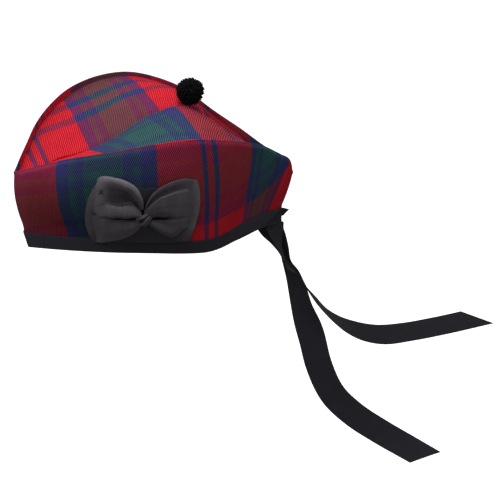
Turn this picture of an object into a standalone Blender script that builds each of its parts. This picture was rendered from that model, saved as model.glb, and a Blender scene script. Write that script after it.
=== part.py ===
"""A glengarry: a long tartan cap with a creased crown, a bound edge, a pompom, a bow and two tails.

Metres, +Z up. The cap's front points to -X, and its left side, which wears the bow, to -Y. The origin
is the middle of the opening, level with the front of the bottom edge. Tables hold shares of the sizes.
"""

from collections import namedtuple

import bmesh
import bpy
import numpy as np

# Tartan body
OPENING_LENGTH = 0.240
OPENING_WIDTH = 0.124
RIM_LENGTH = 0.2666
RIM_WIDTH = 0.175
RIM_OVERHANG = 0.0124
WALL_HEIGHT = 0.118
WALL_THICKNESS = 0.0024
RIM_THICKNESS = 0.0034
RIM_FOLD = 0.008
RIM_ROUNDING = 0.0012
CROWN_THICKNESS = 0.0020
CROWN_DROP = 0.0045
CROWN_SWELL = 0.004
CROWN_END_WIDTH = 0.0016
CROWN_STEPS = 9
SEAM_GAP = 0.0003
CLEARANCE = 0.0004

# Black trim
BINDING_HEIGHT = 0.0145
BINDING_THICKNESS = 0.0012
TOORIE_DIAMETER = 0.0247
TOORIE_ALONG = 0.611
TOORIE_TUFTS = 46
TUFT_RELIEF = 0.13
TOORIE_BASE = 0.80

# Cockade, a bow of charcoal ribbon on the left wall
COCKADE_GIRTH = 0.370
COCKADE_RISE = 0.515
BACKING_LENGTH = 0.082
BACKING_WIDTH = 0.058
LOOP_DEPTH = 0.013
LOOP_FOLD_DEPTH = 0.0035
COCKADE_CLOTH = 0.0010
KNOT_LENGTH = 0.009
KNOT_WIDTH = 0.013
KNOT_DEPTH = 0.011
KNOT_WAIST = 0.35
KNOT_GROOVE = 0.12

# Tails and the tab over the back seam
TAIL_WIDTH = 0.026
TAIL_THICKNESS = 0.0010
LONG_TAIL = 0.3745
SHORT_TAIL = 0.357
TAIL_ROOT_GIRTH = 0.905
TAB_LENGTH = 0.006
TAB_TIP = 0.03
TAB_HEIGHT = 0.0085
TAB_THICKNESS = 0.0012

LEFT, RIGHT = -1, 1

# The walls' bottom edge: shares of its own length from the front seam, of the opening's length and half
# width, and of the wall height.
Edge = namedtuple("Edge", "girth along side height")
BOTTOM_EDGE = [
    Edge(0.00, 0.000, 0.000, 0.000),
    Edge(0.10, 0.094, 0.254, 0.006),
    Edge(0.26, 0.250, 0.600, 0.012),
    Edge(0.42, 0.414, 0.862, 0.012),
    Edge(0.50, 0.503, 0.962, 0.003),
    Edge(0.58, 0.592, 1.000, -0.010),
    Edge(0.74, 0.755, 0.690, -0.036),
    Edge(0.90, 0.910, 0.280, -0.070),
    Edge(1.00, 1.000, 0.000, -0.116),
]
# The rims in the same way, of the rim's length and half width. For the wall below it, flare is how far
# out the binding's top is and belly how much of the full bulge it takes; tuck is how much of the crown
# drop the crown's edge lies under the rim.
Rim = namedtuple("Rim", "girth along side height flare belly tuck")
RIM = {
    LEFT: [
        Rim(0.00, 0.000, 0.000, 0.610, 0.34, 1.0, 1.0),
        Rim(0.04, 0.022, 0.136, 0.661, 0.30, 1.0, 1.0),
        Rim(0.10, 0.062, 0.326, 0.742, 0.20, 1.0, 1.0),
        Rim(0.18, 0.120, 0.574, 0.843, 0.12, 1.0, 1.0),
        Rim(0.26, 0.194, 0.797, 0.921, 0.10, 1.0, 1.0),
        Rim(0.34, 0.286, 0.958, 0.978, 0.12, 1.0, 1.0),
        Rim(0.42, 0.393, 1.000, 1.000, 0.20, 1.0, 1.0),
        Rim(0.50, 0.502, 0.965, 0.983, 0.32, 1.0, 1.0),
        Rim(0.58, 0.602, 0.866, 0.919, 0.42, 1.0, 1.0),
        Rim(0.66, 0.688, 0.692, 0.835, 0.42, 1.0, 1.0),
        Rim(0.74, 0.763, 0.490, 0.740, 0.32, 0.9, 1.0),
        Rim(0.82, 0.844, 0.323, 0.638, 0.24, 0.8, 1.0),
        Rim(0.90, 0.926, 0.186, 0.505, 0.20, 0.6, 1.0),
        Rim(0.96, 0.976, 0.075, 0.379, 0.20, 0.3, 1.0),
        Rim(1.00, 1.000, 0.000, 0.278, 0.20, 0.2, 1.0),
    ],
    RIGHT: [
        Rim(0.00, 0.000, 0.000, 0.610, 0.34, 1.0, 1.0),
        Rim(0.04, 0.024, 0.120, 0.651, 0.30, 0.7, 1.0),
        Rim(0.10, 0.067, 0.290, 0.725, 0.20, 0.5, 1.0),
        Rim(0.18, 0.126, 0.522, 0.817, 0.12, 0.5, 1.0),
        Rim(0.26, 0.202, 0.740, 0.894, 0.10, 0.5, 0.9),
        Rim(0.34, 0.288, 0.905, 0.954, 0.12, 0.5, 0.7),
        Rim(0.42, 0.393, 0.985, 0.996, 0.20, 0.5, 0.4),
        Rim(0.50, 0.502, 0.985, 1.000, 0.28, 0.5, 0.3),
        Rim(0.58, 0.602, 0.905, 0.948, 0.34, 0.5, 0.3),
        Rim(0.66, 0.690, 0.740, 0.866, 0.34, 0.5, 0.4),
        Rim(0.74, 0.763, 0.495, 0.738, 0.30, 0.5, 0.6),
        Rim(0.82, 0.838, 0.292, 0.618, 0.24, 0.5, 0.8),
        Rim(0.90, 0.917, 0.155, 0.475, 0.20, 0.4, 1.0),
        Rim(0.96, 0.974, 0.070, 0.362, 0.20, 0.3, 1.0),
        Rim(1.00, 1.000, 0.000, 0.278, 0.20, 0.2, 1.0),
    ],
}

# A wall's section from the binding's top to the rim: how far it bulges out of the straight line.
Section = namedtuple("Section", "rise bulge")
WALL_SECTION = [
    Section(0.00, 0.00),
    Section(0.12, 0.13),
    Section(0.33, 0.40),
    Section(0.54, 0.52),
    Section(0.77, 0.41),
    Section(0.88, 0.24),
    Section(1.00, 0.00),
]

# The crown's crease, as shares of the rim length and of the wall height.
Crease = namedtuple("Crease", "along height")
CROWN_CREASE = [
    Crease(0.015, 0.592),
    Crease(0.074, 0.632),
    Crease(0.160, 0.669),
    Crease(0.256, 0.714),
    Crease(0.329, 0.774),
    Crease(0.434, 0.902),
    Crease(0.487, 0.944),
    Crease(0.600, 0.976),
    Crease(0.660, 0.888),
    Crease(0.727, 0.750),
    Crease(0.980, 0.275),
]

# The two loops of the bow: which way each runs, its size, how far its end is raised, how much shorter
# its upper edge is than its lower one, and its folds.
Bow = namedtuple("Bow", "name way length width rise skew fold")
BOW_LOOPS = [
    Bow("cockade_loop_front", -1, 0.042, 0.075, 0.0055, 0.12, "front_lift"),
    Bow("cockade_loop_back", 1, 0.047, 0.067, -0.0055, 0.00, "back_lift"),
]
# A bow loop runs out along its back layer, turns at its end and comes back over the front layer.
Loop = namedtuple("Loop", "path reach lift spread pleat")
LOOP_PATH = [
    Loop(0.00, 0.11, 0.00, 0.26, 0.0),
    Loop(0.14, 0.36, 0.00, 0.74, 0.0),
    Loop(0.30, 0.72, 0.00, 0.95, 0.0),
    Loop(0.42, 0.95, 0.03, 1.00, 0.0),
    Loop(0.48, 1.00, 0.22, 0.98, 0.1),
    Loop(0.54, 0.96, 0.44, 0.96, 0.3),
    Loop(0.66, 0.74, 0.82, 0.93, 0.7),
    Loop(0.80, 0.46, 1.00, 0.87, 1.0),
    Loop(0.91, 0.23, 0.84, 0.68, 0.7),
    Loop(1.00, 0.11, 0.50, 0.32, 0.2),
]
# Folds across a loop's front layer, from its lower edge to its upper one, as shares of the fold depth.
Fold = namedtuple("Fold", "across front_lift back_lift")
LOOP_FOLDS = [
    Fold(-1.00, -0.5, -0.5),
    Fold(-0.55, 0.7, 0.8),
    Fold(-0.15, -1.0, -1.0),
    Fold(0.10, 0.9, 0.3),
    Fold(0.45, -0.9, 0.9),
    Fold(0.75, 0.6, 0.3),
    Fold(1.00, -0.3, -0.5),
]

# The tails' middle lines, as shares of each tail's length, and the turn of the ribbon in degrees.
Tail = namedtuple("Tail", "along back side drop turn")
LONG_TAIL_ROUTE = [
    Tail(0.000, 0.000, 0.000, 0.000, 30),
    Tail(0.045, 0.012, -0.003, 0.042, 48),
    Tail(0.088, 0.025, -0.006, 0.082, 70),
    Tail(0.123, 0.040, 0.001, 0.115, 77),
    Tail(0.151, 0.050, 0.005, 0.141, 86),
    Tail(0.194, 0.065, 0.004, 0.181, 100),
    Tail(0.264, 0.091, -0.001, 0.245, 133),
    Tail(0.377, 0.121, -0.011, 0.352, 160),
    Tail(0.460, 0.142, -0.018, 0.432, 166),
    Tail(0.569, 0.186, -0.026, 0.531, 174),
    Tail(0.666, 0.249, -0.031, 0.604, 182),
    Tail(0.769, 0.327, -0.035, 0.672, 186),
    Tail(0.887, 0.419, -0.039, 0.745, 186),
    Tail(1.000, 0.508, -0.043, 0.815, 182),
]
SHORT_TAIL_ROUTE = [
    Tail(0.000, 0.000, 0.000, 0.000, -34),
    Tail(0.062, 0.030, -0.002, 0.052, -46),
    Tail(0.103, 0.047, -0.005, 0.088, -68),
    Tail(0.140, 0.063, -0.007, 0.122, -86),
    Tail(0.181, 0.086, -0.006, 0.158, -88),
    Tail(0.224, 0.108, -0.003, 0.195, -88),
    Tail(0.303, 0.150, 0.003, 0.261, -88),
    Tail(0.360, 0.184, 0.008, 0.306, -94),
    Tail(0.412, 0.217, 0.012, 0.347, -99),
    Tail(0.473, 0.262, 0.017, 0.388, -104),
    Tail(0.539, 0.317, 0.022, 0.423, -111),
    Tail(0.619, 0.391, 0.028, 0.453, -113),
    Tail(0.713, 0.483, 0.036, 0.467, -108),
    Tail(0.825, 0.595, 0.045, 0.474, -107),
    Tail(1.000, 0.769, 0.059, 0.478, -107),
]

# Where the walls' columns and rows of points are: closer at the seams, in the binding and at the rim.
GIRTHS = np.concatenate([[0, 0.035, 0.07], np.linspace(0.105, 0.895, 23), [0.93, 0.965, 1]])
BOUND_RISES = np.array([0, 0.5, 1])
FREE_RISES = np.array([0.10, 0.23, 0.37, 0.52, 0.67, 0.80, 0.89, 0.95, 1])


def read(table, column, at):
    """A column's value at each place, on a smooth curve through the table's rows."""
    places = np.array([row[0] for row in table], float)
    values = np.array([getattr(row, column) for row in table], float)
    slopes = np.gradient(values, places)
    at = np.asarray(at, float)
    row = np.clip(np.searchsorted(places, at, side="right") - 1, 0, len(places) - 2)
    span = places[row + 1] - places[row]
    u = (at - places[row]) / span
    return (
        values[row] * (1 + 2 * u) * (1 - u) ** 2
        + slopes[row] * span * u * (1 - u) ** 2
        + values[row + 1] * u**2 * (3 - 2 * u)
        + slopes[row + 1] * span * u**2 * (u - 1)
    )


def unit(vectors):
    return vectors / np.linalg.norm(vectors, axis=-1, keepdims=True)


def rim_height(side, girth):
    return WALL_HEIGHT * (read(RIM[side], "height", girth) - read(BOTTOM_EDGE, "height", girth))


def bound_rise(side, girth):
    """The share of a wall's height that the binding covers."""
    return BINDING_HEIGHT / rim_height(side, girth)


def wall_reach(side, girth, rise):
    """How far out a wall is, as a share of the way from the bottom edge to the rim."""
    bound = bound_rise(side, girth)
    flare, belly = read(RIM[side], "flare", girth), read(RIM[side], "belly", girth)
    above = (rise - bound) / (1 - bound)
    bellied = flare + (1 - flare) * (above + belly * read(WALL_SECTION, "bulge", above))
    return np.where(rise < bound, flare * rise / bound, bellied)


def wall_face(side, girth, rise):
    """Points of a wall's outer face, at shares of its length from the front seam and of its height."""
    low_x = OPENING_LENGTH * (read(BOTTOM_EDGE, "along", girth) - 0.5)
    low_y = OPENING_WIDTH / 2 * read(BOTTOM_EDGE, "side", girth)
    low_z = WALL_HEIGHT * read(BOTTOM_EDGE, "height", girth)
    rim_x = RIM_LENGTH * read(RIM[side], "along", girth) - OPENING_LENGTH / 2 - RIM_OVERHANG
    rim_y = RIM_WIDTH / 2 * read(RIM[side], "side", girth)
    reach = wall_reach(side, girth, rise)
    x = low_x + (rim_x - low_x) * reach
    y = low_y + (rim_y - low_y) * reach
    z = low_z + rim_height(side, girth) * rise
    return np.stack(np.broadcast_arrays(x, side * (y + SEAM_GAP / 2), z), axis=-1)


def wall_normal(side, girth, rise):
    """Unit vectors that point out of a wall's outer face."""
    step = 1e-3
    along = wall_face(side, np.minimum(girth + step, 1), rise)
    along = along - wall_face(side, np.maximum(girth - step, 0), rise)
    upward = wall_face(side, girth, np.minimum(rise + step, 1))
    upward = upward - wall_face(side, girth, np.maximum(rise - step, 0))
    return unit(-side * np.cross(along, upward))


def wall_offset(side, girth, rise, out):
    """Points that stand out from a wall's outer face, mitred on the seams where the two walls meet."""
    girth, rise = np.broadcast_arrays(np.asarray(girth, float), np.asarray(rise, float))
    normal = wall_normal(side, girth, rise)
    mitre = (normal + wall_normal(-side, girth, rise)) / 2 * [1, 0, 1]
    mitre = mitre / np.maximum((mitre**2).sum(axis=-1, keepdims=True), 1e-6)
    on_seam = ((girth == 0) | (girth == 1))[..., None]
    out = np.broadcast_to(out, girth.shape)[..., None]
    return wall_face(side, girth, rise) + out * np.where(on_seam, mitre, normal)


def wall_run(girth, rise):
    """Lengths of the left wall's outer face along a level line and up a rib, through one place."""
    level = wall_face(LEFT, np.linspace(0, 1, 200), rise)
    rib = wall_face(LEFT, girth, np.linspace(0, 1, 60))
    return [np.linalg.norm(np.diff(line, axis=0), axis=1).sum() for line in (level, rib)]


def ladder_body(name, loops, material, ring=False):
    """One closed body from a row of sections, whose points go out along one face and back on the other."""
    count, size = loops.shape[:2]
    rungs = size // 2
    mesh = bmesh.new()
    points = [[mesh.verts.new(point) for point in loop] for loop in loops.tolist()]
    for i in range(count if ring else count - 1):
        here, after = points[i], points[(i + 1) % count]
        for j in range(size):
            k = (j + 1) % size
            mesh.faces.new((here[j], after[j], after[k], here[k]))
    if not ring:
        for end in (points[0], points[-1]):
            for j in range(rungs - 1):
                mesh.faces.new((end[j], end[j + 1], end[size - 2 - j], end[size - 1 - j]))
    return finish_body(name, mesh, material)


def finish_body(name, mesh, material):
    bmesh.ops.recalc_face_normals(mesh, faces=mesh.faces)
    data = bpy.data.meshes.new(name)
    mesh.to_mesh(data)
    mesh.free()
    data.shade_smooth()
    data.set_sharp_from_angle(angle=np.radians(50))
    data.materials.append(material)
    body = bpy.data.objects.new(name, data)
    bpy.context.scene.collection.objects.link(body)
    return body


def strip_loops(grid, thickness):
    """Sections of a strip of cloth of even thickness about a grid of points on its middle surface."""
    lengthwise = np.gradient(grid, axis=0)
    crosswise = np.gradient(grid, axis=1)
    normal = unit(np.cross(lengthwise, crosswise)) * thickness / 2
    return np.concatenate([grid + normal, (grid - normal)[:, ::-1]], axis=1)


def plain_material(name, colour, roughness):
    material = bpy.data.materials.new(name)
    material.use_nodes = True
    shader = material.node_tree.nodes["Principled BSDF"]
    shader.inputs["Base Color"].default_value = (*colour, 1)
    shader.inputs["Roughness"].default_value = roughness
    shader.inputs["Metallic"].default_value = 0
    return material


def build_wall(name, side, material):
    """A side wall: one layer of cloth whose top edge is folded over into a thicker, rounded rim."""
    girth = GIRTHS[:, None]
    bound = bound_rise(side, girth)
    rise = np.concatenate([bound * BOUND_RISES, bound + (1 - bound) * FREE_RISES], axis=1)
    below_rim = (1 - rise) * rim_height(side, girth)
    folded = np.clip(1 - below_rim / RIM_FOLD, 0, 1)
    depth = WALL_THICKNESS + (RIM_THICKNESS - WALL_THICKNESS) * folded
    outer = wall_offset(side, girth, rise, 0)
    inner = wall_offset(side, girth, rise, -depth)
    top = np.array([0, 0, RIM_ROUNDING])
    outer_top = outer[:, -1:] * 0.75 + inner[:, -1:] * 0.25 + top
    inner_top = outer[:, -1:] * 0.25 + inner[:, -1:] * 0.75 + top
    loops = np.concatenate([outer, outer_top, inner_top, inner[:, ::-1]], axis=1)
    # The right wall is built from back to front, as the binding is, so that their faces split alike.
    ladder_body(name, loops[::-side], material)


def crown_edge(side, girth):
    """The crown's sewn edge, inside a wall and a little below its rim."""
    rise = 1 - CROWN_DROP * read(RIM[side], "tuck", girth) / rim_height(side, girth)
    return wall_offset(side, girth, rise, -(RIM_THICKNESS + CLEARANCE))


def crown_girths(side):
    """The wall's columns between the ends of a crown half, which start where the cap is wide enough."""
    fine = np.linspace(0, 1, 1001)[1:-1]
    wide = fine[side * crown_edge(side, fine)[:, 1] > CROWN_END_WIDTH]
    apart = (GIRTHS[1] - GIRTHS[0]) / 4
    inside = GIRTHS[(GIRTHS > wide[0] + apart) & (GIRTHS < wide[-1] - apart)]
    return np.concatenate([wide[:1], inside, wide[-1:]])


def build_crown_half(name, side, material):
    """Half of the crown: cloth that runs from a wall down or up to the crease, and swells a little."""
    edge = crown_edge(side, crown_girths(side))
    along = (edge[:, 0] + OPENING_LENGTH / 2 + RIM_OVERHANG) / RIM_LENGTH
    crease = edge * [1, 0, 0] + np.array([0, side * SEAM_GAP / 2, 0])
    crease[:, 2] = WALL_HEIGHT * read(CROWN_CREASE, "height", along)
    inward = np.linspace(0, 1, CROWN_STEPS)[None, :, None]
    top = edge[:, None] * (1 - inward) + crease[:, None] * inward
    width = np.abs(edge[:, 1])
    swell = CROWN_SWELL * width / (RIM_WIDTH / 2)
    top[..., 2] += swell[:, None] * np.sin(np.pi * inward[..., 0])
    slope = (edge[:, 2] - crease[:, 2]) / width
    under = top - np.array([0, 0, CROWN_THICKNESS]) * np.sqrt(1 + slope**2)[:, None, None]
    ladder_body(name, np.concatenate([top, under[:, ::-1]], axis=1), material)


def build_binding(material):
    """The ribbon folded over the bottom edge of both walls, as one closed ring of U sections."""
    outside = CLEARANCE + BINDING_THICKNESS
    inside = WALL_THICKNESS + CLEARANCE
    # Share of the binding's height, distance out and drop: the skin inwards, then the lining outwards.
    section = [(1, outside, 0), (0.5, outside, 0), (0, outside, outside)]
    section += [(0, -inside - BINDING_THICKNESS, outside)]
    section += [(share, -inside - BINDING_THICKNESS, 0) for share in (0.5, 1)]
    section += [(1, -inside, 0), (0.5, -inside, 0), (0, -inside, CLEARANCE)]
    section += [(0, CLEARANCE, CLEARANCE), (0.5, CLEARANCE, 0), (1, CLEARANCE, 0)]
    halves = {}
    for side in (LEFT, RIGHT):
        bound = bound_rise(side, GIRTHS)
        rows = [
            wall_offset(side, GIRTHS, bound * share, out) - [0, 0, drop] for share, out, drop in section
        ]
        halves[side] = np.stack(rows, axis=1)
    tips = (halves[LEFT][[0, -1]] + halves[RIGHT][[0, -1]]) / 2
    ring = [tips[:1], halves[LEFT][1:-1], tips[1:], halves[RIGHT][-2:0:-1]]
    ladder_body("binding", np.concatenate(ring), material, ring=True)


def build_toorie(material):
    """The pompom: a ball with tufts raised all over it, pressed flat where it is sewn to the crease."""
    number = np.arange(TOORIE_TUFTS) + 0.5
    height = 1 - 2 * number / TOORIE_TUFTS
    turn = number * np.pi * (3 - np.sqrt(5))
    ring = np.sqrt(1 - height**2)
    tufts = np.stack([ring * np.cos(turn), ring * np.sin(turn), height], axis=-1)
    radius = TOORIE_DIAMETER / 2
    x = RIM_LENGTH * TOORIE_ALONG - OPENING_LENGTH / 2 - RIM_OVERHANG
    foot = radius * np.sqrt(1 - TOORIE_BASE**2) / RIM_LENGTH
    under = TOORIE_ALONG + np.linspace(-foot, foot, 9)
    crown_top = WALL_HEIGHT * read(CROWN_CREASE, "height", under).max()
    middle = np.array([x, 0, crown_top + 2 * CLEARANCE + TOORIE_BASE * radius])
    spread = 2 / np.sqrt(TOORIE_TUFTS)
    mesh = bmesh.new()
    bmesh.ops.create_icosphere(mesh, subdivisions=4, radius=1)
    for vertex in mesh.verts:
        direction = np.array(vertex.co) / vertex.co.length
        nearest = np.arccos(np.clip(tufts @ direction, -1, 1)).min()
        tuft = np.sqrt(max(0, 1 - (nearest / spread) ** 2))
        point = direction * (1 - TUFT_RELIEF + TUFT_RELIEF * tuft)
        point[2] = max(point[2], -TOORIE_BASE)
        vertex.co = middle + radius * point
    finish_body("toorie", mesh, material)


def on_left_wall(along, up, out):
    """Points at distances along, up and out from the bow's middle, wrapped round the left wall."""
    level, rib = wall_run(COCKADE_GIRTH, COCKADE_RISE)
    return wall_offset(LEFT, COCKADE_GIRTH + along / level, COCKADE_RISE + up / rib, out)


def build_cockade(material):
    """The flat backing, the two loops in front of it and of the binding, and the knot between them."""
    layer = CLEARANCE + COCKADE_CLOTH / 2
    along, up = np.meshgrid(np.linspace(-0.5, 0.5, 15), np.linspace(-0.5, 0.5, 6), indexing="ij")
    backing = on_left_wall(along * BACKING_LENGTH, up * BACKING_WIDTH, layer)
    ladder_body("cockade_backing", strip_loops(backing, COCKADE_CLOTH), material("cockade_backing"))

    layer = 2 * CLEARANCE + BINDING_THICKNESS + COCKADE_CLOTH / 2
    path, across = np.meshgrid(np.linspace(0, 1, 23), np.linspace(-1, 1, 11), indexing="ij")
    reach, spread = read(LOOP_PATH, "reach", path), read(LOOP_PATH, "spread", path)
    for bow in BOW_LOOPS:
        along = bow.way * bow.length * reach * (1 - bow.skew * across)
        up = across * bow.width / 2 * spread + bow.rise * reach
        fold = LOOP_FOLD_DEPTH * read(LOOP_FOLDS, bow.fold, across) * read(LOOP_PATH, "pleat", path)
        out = layer + LOOP_DEPTH * read(LOOP_PATH, "lift", path) + fold
        loops = strip_loops(on_left_wall(along, up, out), COCKADE_CLOTH)
        ladder_body(bow.name, loops, material(bow.name))

    layer += COCKADE_CLOTH / 2
    turn = np.linspace(0, 2 * np.pi, 17)[:-1]
    height = np.linspace(-1, 1, 9)[:, None]
    pinch = KNOT_WAIST + (1 - KNOT_WAIST) * np.sqrt(np.maximum(0, 1 - height**2))
    groove = 1 - KNOT_GROOVE * np.cos(turn * 4 + height * 2)
    along = KNOT_LENGTH / 2 * pinch * groove * np.cos(turn)
    out = layer + KNOT_DEPTH / 2 * (1 + pinch * groove * np.sin(turn))
    up = np.broadcast_to(height * KNOT_WIDTH / 2, along.shape)
    ladder_body("cockade_knot", on_left_wall(along, up, out), material("cockade_knot"))


def tail_root(side):
    """Where a tail starts: under the binding, halfway along the last stretch before the back seam."""
    girth = np.array([TAIL_ROOT_GIRTH, 1.0])
    edge = wall_offset(side, girth, 0, CLEARANCE + BINDING_THICKNESS / 2)
    low = edge - [0, 0, 2 * CLEARANCE + BINDING_THICKNESS]
    return low.mean(axis=0), (low[0, 2] - low[1, 2]) / TAIL_WIDTH


def build_tail(name, side, route, length, end_slant, material):
    """A ribbon along its route, cut level with the binding above and at 45 degrees at its free end.

    The end slant is 1 or -1 and says which edge is the longer one, whose tip is the route's end.
    """
    root, root_fall = tail_root(side)

    def middle(at):
        way = [read(route, "back", at), read(route, "side", at), -read(route, "drop", at)]
        return root + length * np.stack(way, axis=-1)

    def directions(at):
        ahead = unit(middle(at + 1e-3) - middle(at - 1e-3))
        level = unit(np.cross(ahead, [0, 1, 0]))
        turn = np.radians(read(route, "turn", at))[..., None]
        return ahead, level * np.cos(turn) + np.cross(level, ahead) * np.sin(turn)

    ahead, width = directions(np.zeros(1))
    root_slant = (width[0, 2] + root_fall) / -ahead[0, 2]
    across = np.linspace(-1, 1, 5)[None, :]
    start = across * TAIL_WIDTH / 2 * root_slant / length
    end = 1 - (1 - across * end_slant) * TAIL_WIDTH / 2 / length
    share = start + (end - start) * np.linspace(0, 1, 37)[:, None]
    width = directions(share)[1] * (across * TAIL_WIDTH / 2)[..., None]
    ladder_body(name, strip_loops(middle(share) + width, TAIL_THICKNESS), material)


def build_tab(material):
    """The small pointed end of the binding ribbon that stands out over the back seam."""
    share = np.linspace(0, 1 - TAB_TIP, 5)[:, None, None]
    across = np.linspace(-1, 1, 3)[None, :]
    rise = bound_rise(LEFT, 1.0) * (1 + (across - 1) * TAB_HEIGHT / BINDING_HEIGHT / 2)
    seat = wall_offset(LEFT, 1.0, rise, CLEARANCE * 2 + BINDING_THICKNESS)
    tip = seat[:, 2:] * [1, 0, 1] + [TAB_LENGTH, 0, 0]
    ladder_body("back_tab", strip_loops(seat + (tip - seat) * share, TAB_THICKNESS), material)


def main():
    for old in list(bpy.data.objects):
        bpy.data.objects.remove(old, do_unlink=True)

    def tartan(name):
        return plain_material(name, (0.36, 0.02, 0.03), 0.85)

    def black(name):
        return plain_material(name, (0.008, 0.008, 0.010), 0.6)

    def charcoal(name):
        return plain_material(name, (0.03, 0.028, 0.03), 0.55)

    build_wall("side_wall_left", LEFT, tartan("side_wall_left"))
    build_wall("side_wall_right", RIGHT, tartan("side_wall_right"))
    build_crown_half("crown_left", LEFT, tartan("crown_left"))
    build_crown_half("crown_right", RIGHT, tartan("crown_right"))
    build_binding(black("binding"))
    build_toorie(black("toorie"))
    build_cockade(charcoal)
    build_tail("ribbon_tail_long", LEFT, LONG_TAIL_ROUTE, LONG_TAIL, -1, black("ribbon_tail_long"))
    build_tail(
        "ribbon_tail_short", RIGHT, SHORT_TAIL_ROUTE, SHORT_TAIL, 1, black("ribbon_tail_short")
    )
    build_tab(black("back_tab"))


main()
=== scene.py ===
"""A glengarry in tartan wool: two walls, a creased crown, a bound edge, a pompom, a bow and two ribbon tails.

Metres, +Z up. The front of the cap points to -X, and its left side, which wears the bow, to -Y.
"""

import math
from collections import namedtuple

import bpy
import numpy as np
from mathutils import Matrix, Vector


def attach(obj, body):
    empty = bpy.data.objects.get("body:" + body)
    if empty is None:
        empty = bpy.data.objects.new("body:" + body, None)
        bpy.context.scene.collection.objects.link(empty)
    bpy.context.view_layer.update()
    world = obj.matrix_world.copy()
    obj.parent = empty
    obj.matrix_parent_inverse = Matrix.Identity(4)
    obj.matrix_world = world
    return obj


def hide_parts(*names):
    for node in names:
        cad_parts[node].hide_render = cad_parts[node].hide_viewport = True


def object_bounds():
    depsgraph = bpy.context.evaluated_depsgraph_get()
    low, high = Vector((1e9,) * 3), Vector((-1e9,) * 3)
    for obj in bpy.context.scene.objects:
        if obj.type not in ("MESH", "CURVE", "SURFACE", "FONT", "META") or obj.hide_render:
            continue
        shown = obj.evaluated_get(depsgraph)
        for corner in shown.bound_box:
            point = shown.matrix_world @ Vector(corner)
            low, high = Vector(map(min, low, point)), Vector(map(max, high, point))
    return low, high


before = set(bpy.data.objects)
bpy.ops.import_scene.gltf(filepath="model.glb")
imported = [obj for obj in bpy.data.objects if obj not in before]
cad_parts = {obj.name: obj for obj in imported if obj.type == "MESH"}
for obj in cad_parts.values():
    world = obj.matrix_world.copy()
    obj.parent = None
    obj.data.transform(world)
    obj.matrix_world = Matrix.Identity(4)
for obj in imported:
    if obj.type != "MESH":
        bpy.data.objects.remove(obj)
cad_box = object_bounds()
scene = bpy.context.scene

# Camera
# A longish lens from the cap's front left and above, turned a little about its own axis.
CAMERA_PLACE = (-0.4475, -1.2277, 0.6292)
CAMERA_AZIMUTH, CAMERA_ELEVATION = math.radians(-23.76), math.radians(26.567)
CAMERA_ROLL, CAMERA_LENS, SENSOR_WIDTH, FARTHEST = math.radians(1.602), 113.9, 36, 50


def stand(thing, across, upright, toward, place):
    """Puts a camera or a lamp at a place, with its own three axes along the directions given."""
    turn = np.eye(4)
    turn[:3] = np.stack([across, upright, toward, place], axis=1)
    thing.matrix_world = Matrix(turn.tolist())


sine, cosine = math.sin(CAMERA_AZIMUTH), math.cos(CAMERA_AZIMUTH)
low, high = math.cos(CAMERA_ELEVATION), math.sin(CAMERA_ELEVATION)
level, toward = np.array([cosine, sine, 0]), np.array([sine * low, -cosine * low, high])
across = level * math.cos(CAMERA_ROLL) + np.cross(toward, level) * math.sin(CAMERA_ROLL)
camera_axes = np.stack([across, np.cross(toward, across), toward])
camera = bpy.data.objects.new("camera", bpy.data.cameras.new("camera"))
scene.collection.objects.link(camera)
camera.data.lens, camera.data.sensor_width, camera.data.clip_end = CAMERA_LENS, SENSOR_WIDTH, FARTHEST
stand(camera, *camera_axes, CAMERA_PLACE)
scene.camera = camera

# Side walls
# Each wall is one layer of worsted tartan, 2.4 mm thick, sewn to the other at the front and the back. Its
# top is folded over into a soft rim, and its bottom stands in the binding.
OPENING_LENGTH, OPENING_WIDTH = 0.240, 0.124
RIM_LENGTH, RIM_WIDTH, RIM_OVERHANG = 0.2666, 0.175, 0.0124
RIM_START = -OPENING_LENGTH / 2 - RIM_OVERHANG
WALL_HEIGHT, WALL_THICKNESS = 0.118, 0.0024
RIM_FOLD, RIM_ROUNDING, RIM_LEAN, RIM_SOFT, RIM_TURN = 0.008, 0.0012, 0.45, 0.004, 7
SEAM_GAP, CLEARANCE = 0.0003, 0.0004
BINDING_HEIGHT, BINDING_THICKNESS = 0.0145, 0.0012
SEAM_DIP, SEAM_REACH, MITRE_LIMIT = 0.0009, 0.0022, 0.5
LEFT, RIGHT = -1, 1
RIM_THICKNESS = {LEFT: 0.0034, RIGHT: 0.0020}
# The share of the wall above the binding over which its slack and its seams' dips grow to the full, and
# the distances from the rim and from the seams over which the slack does.
SLACK_GROWTH, DIP_GROWTH, RIM_CALM, SEAM_CALM = 0.25, 0.25, 0.012, 0.010
MM = 1000
# The bottom edge: shares of its own length, of the opening's length and half width, and of the height.
Edge = namedtuple("Edge", "girth along side height")
BOTTOM_EDGE = [
    Edge(0.00, -0.008, 0.000, 0.000),
    Edge(0.10, 0.091, 0.256, 0.006),
    Edge(0.26, 0.250, 0.600, 0.012),
    Edge(0.42, 0.414, 0.862, 0.012),
    Edge(0.50, 0.503, 0.962, 0.003),
    Edge(0.58, 0.592, 1.000, -0.010),
    Edge(0.74, 0.755, 0.690, -0.036),
    Edge(0.90, 0.910, 0.280, -0.078),
    Edge(1.00, 1.000, 0.000, -0.143),
]
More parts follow.
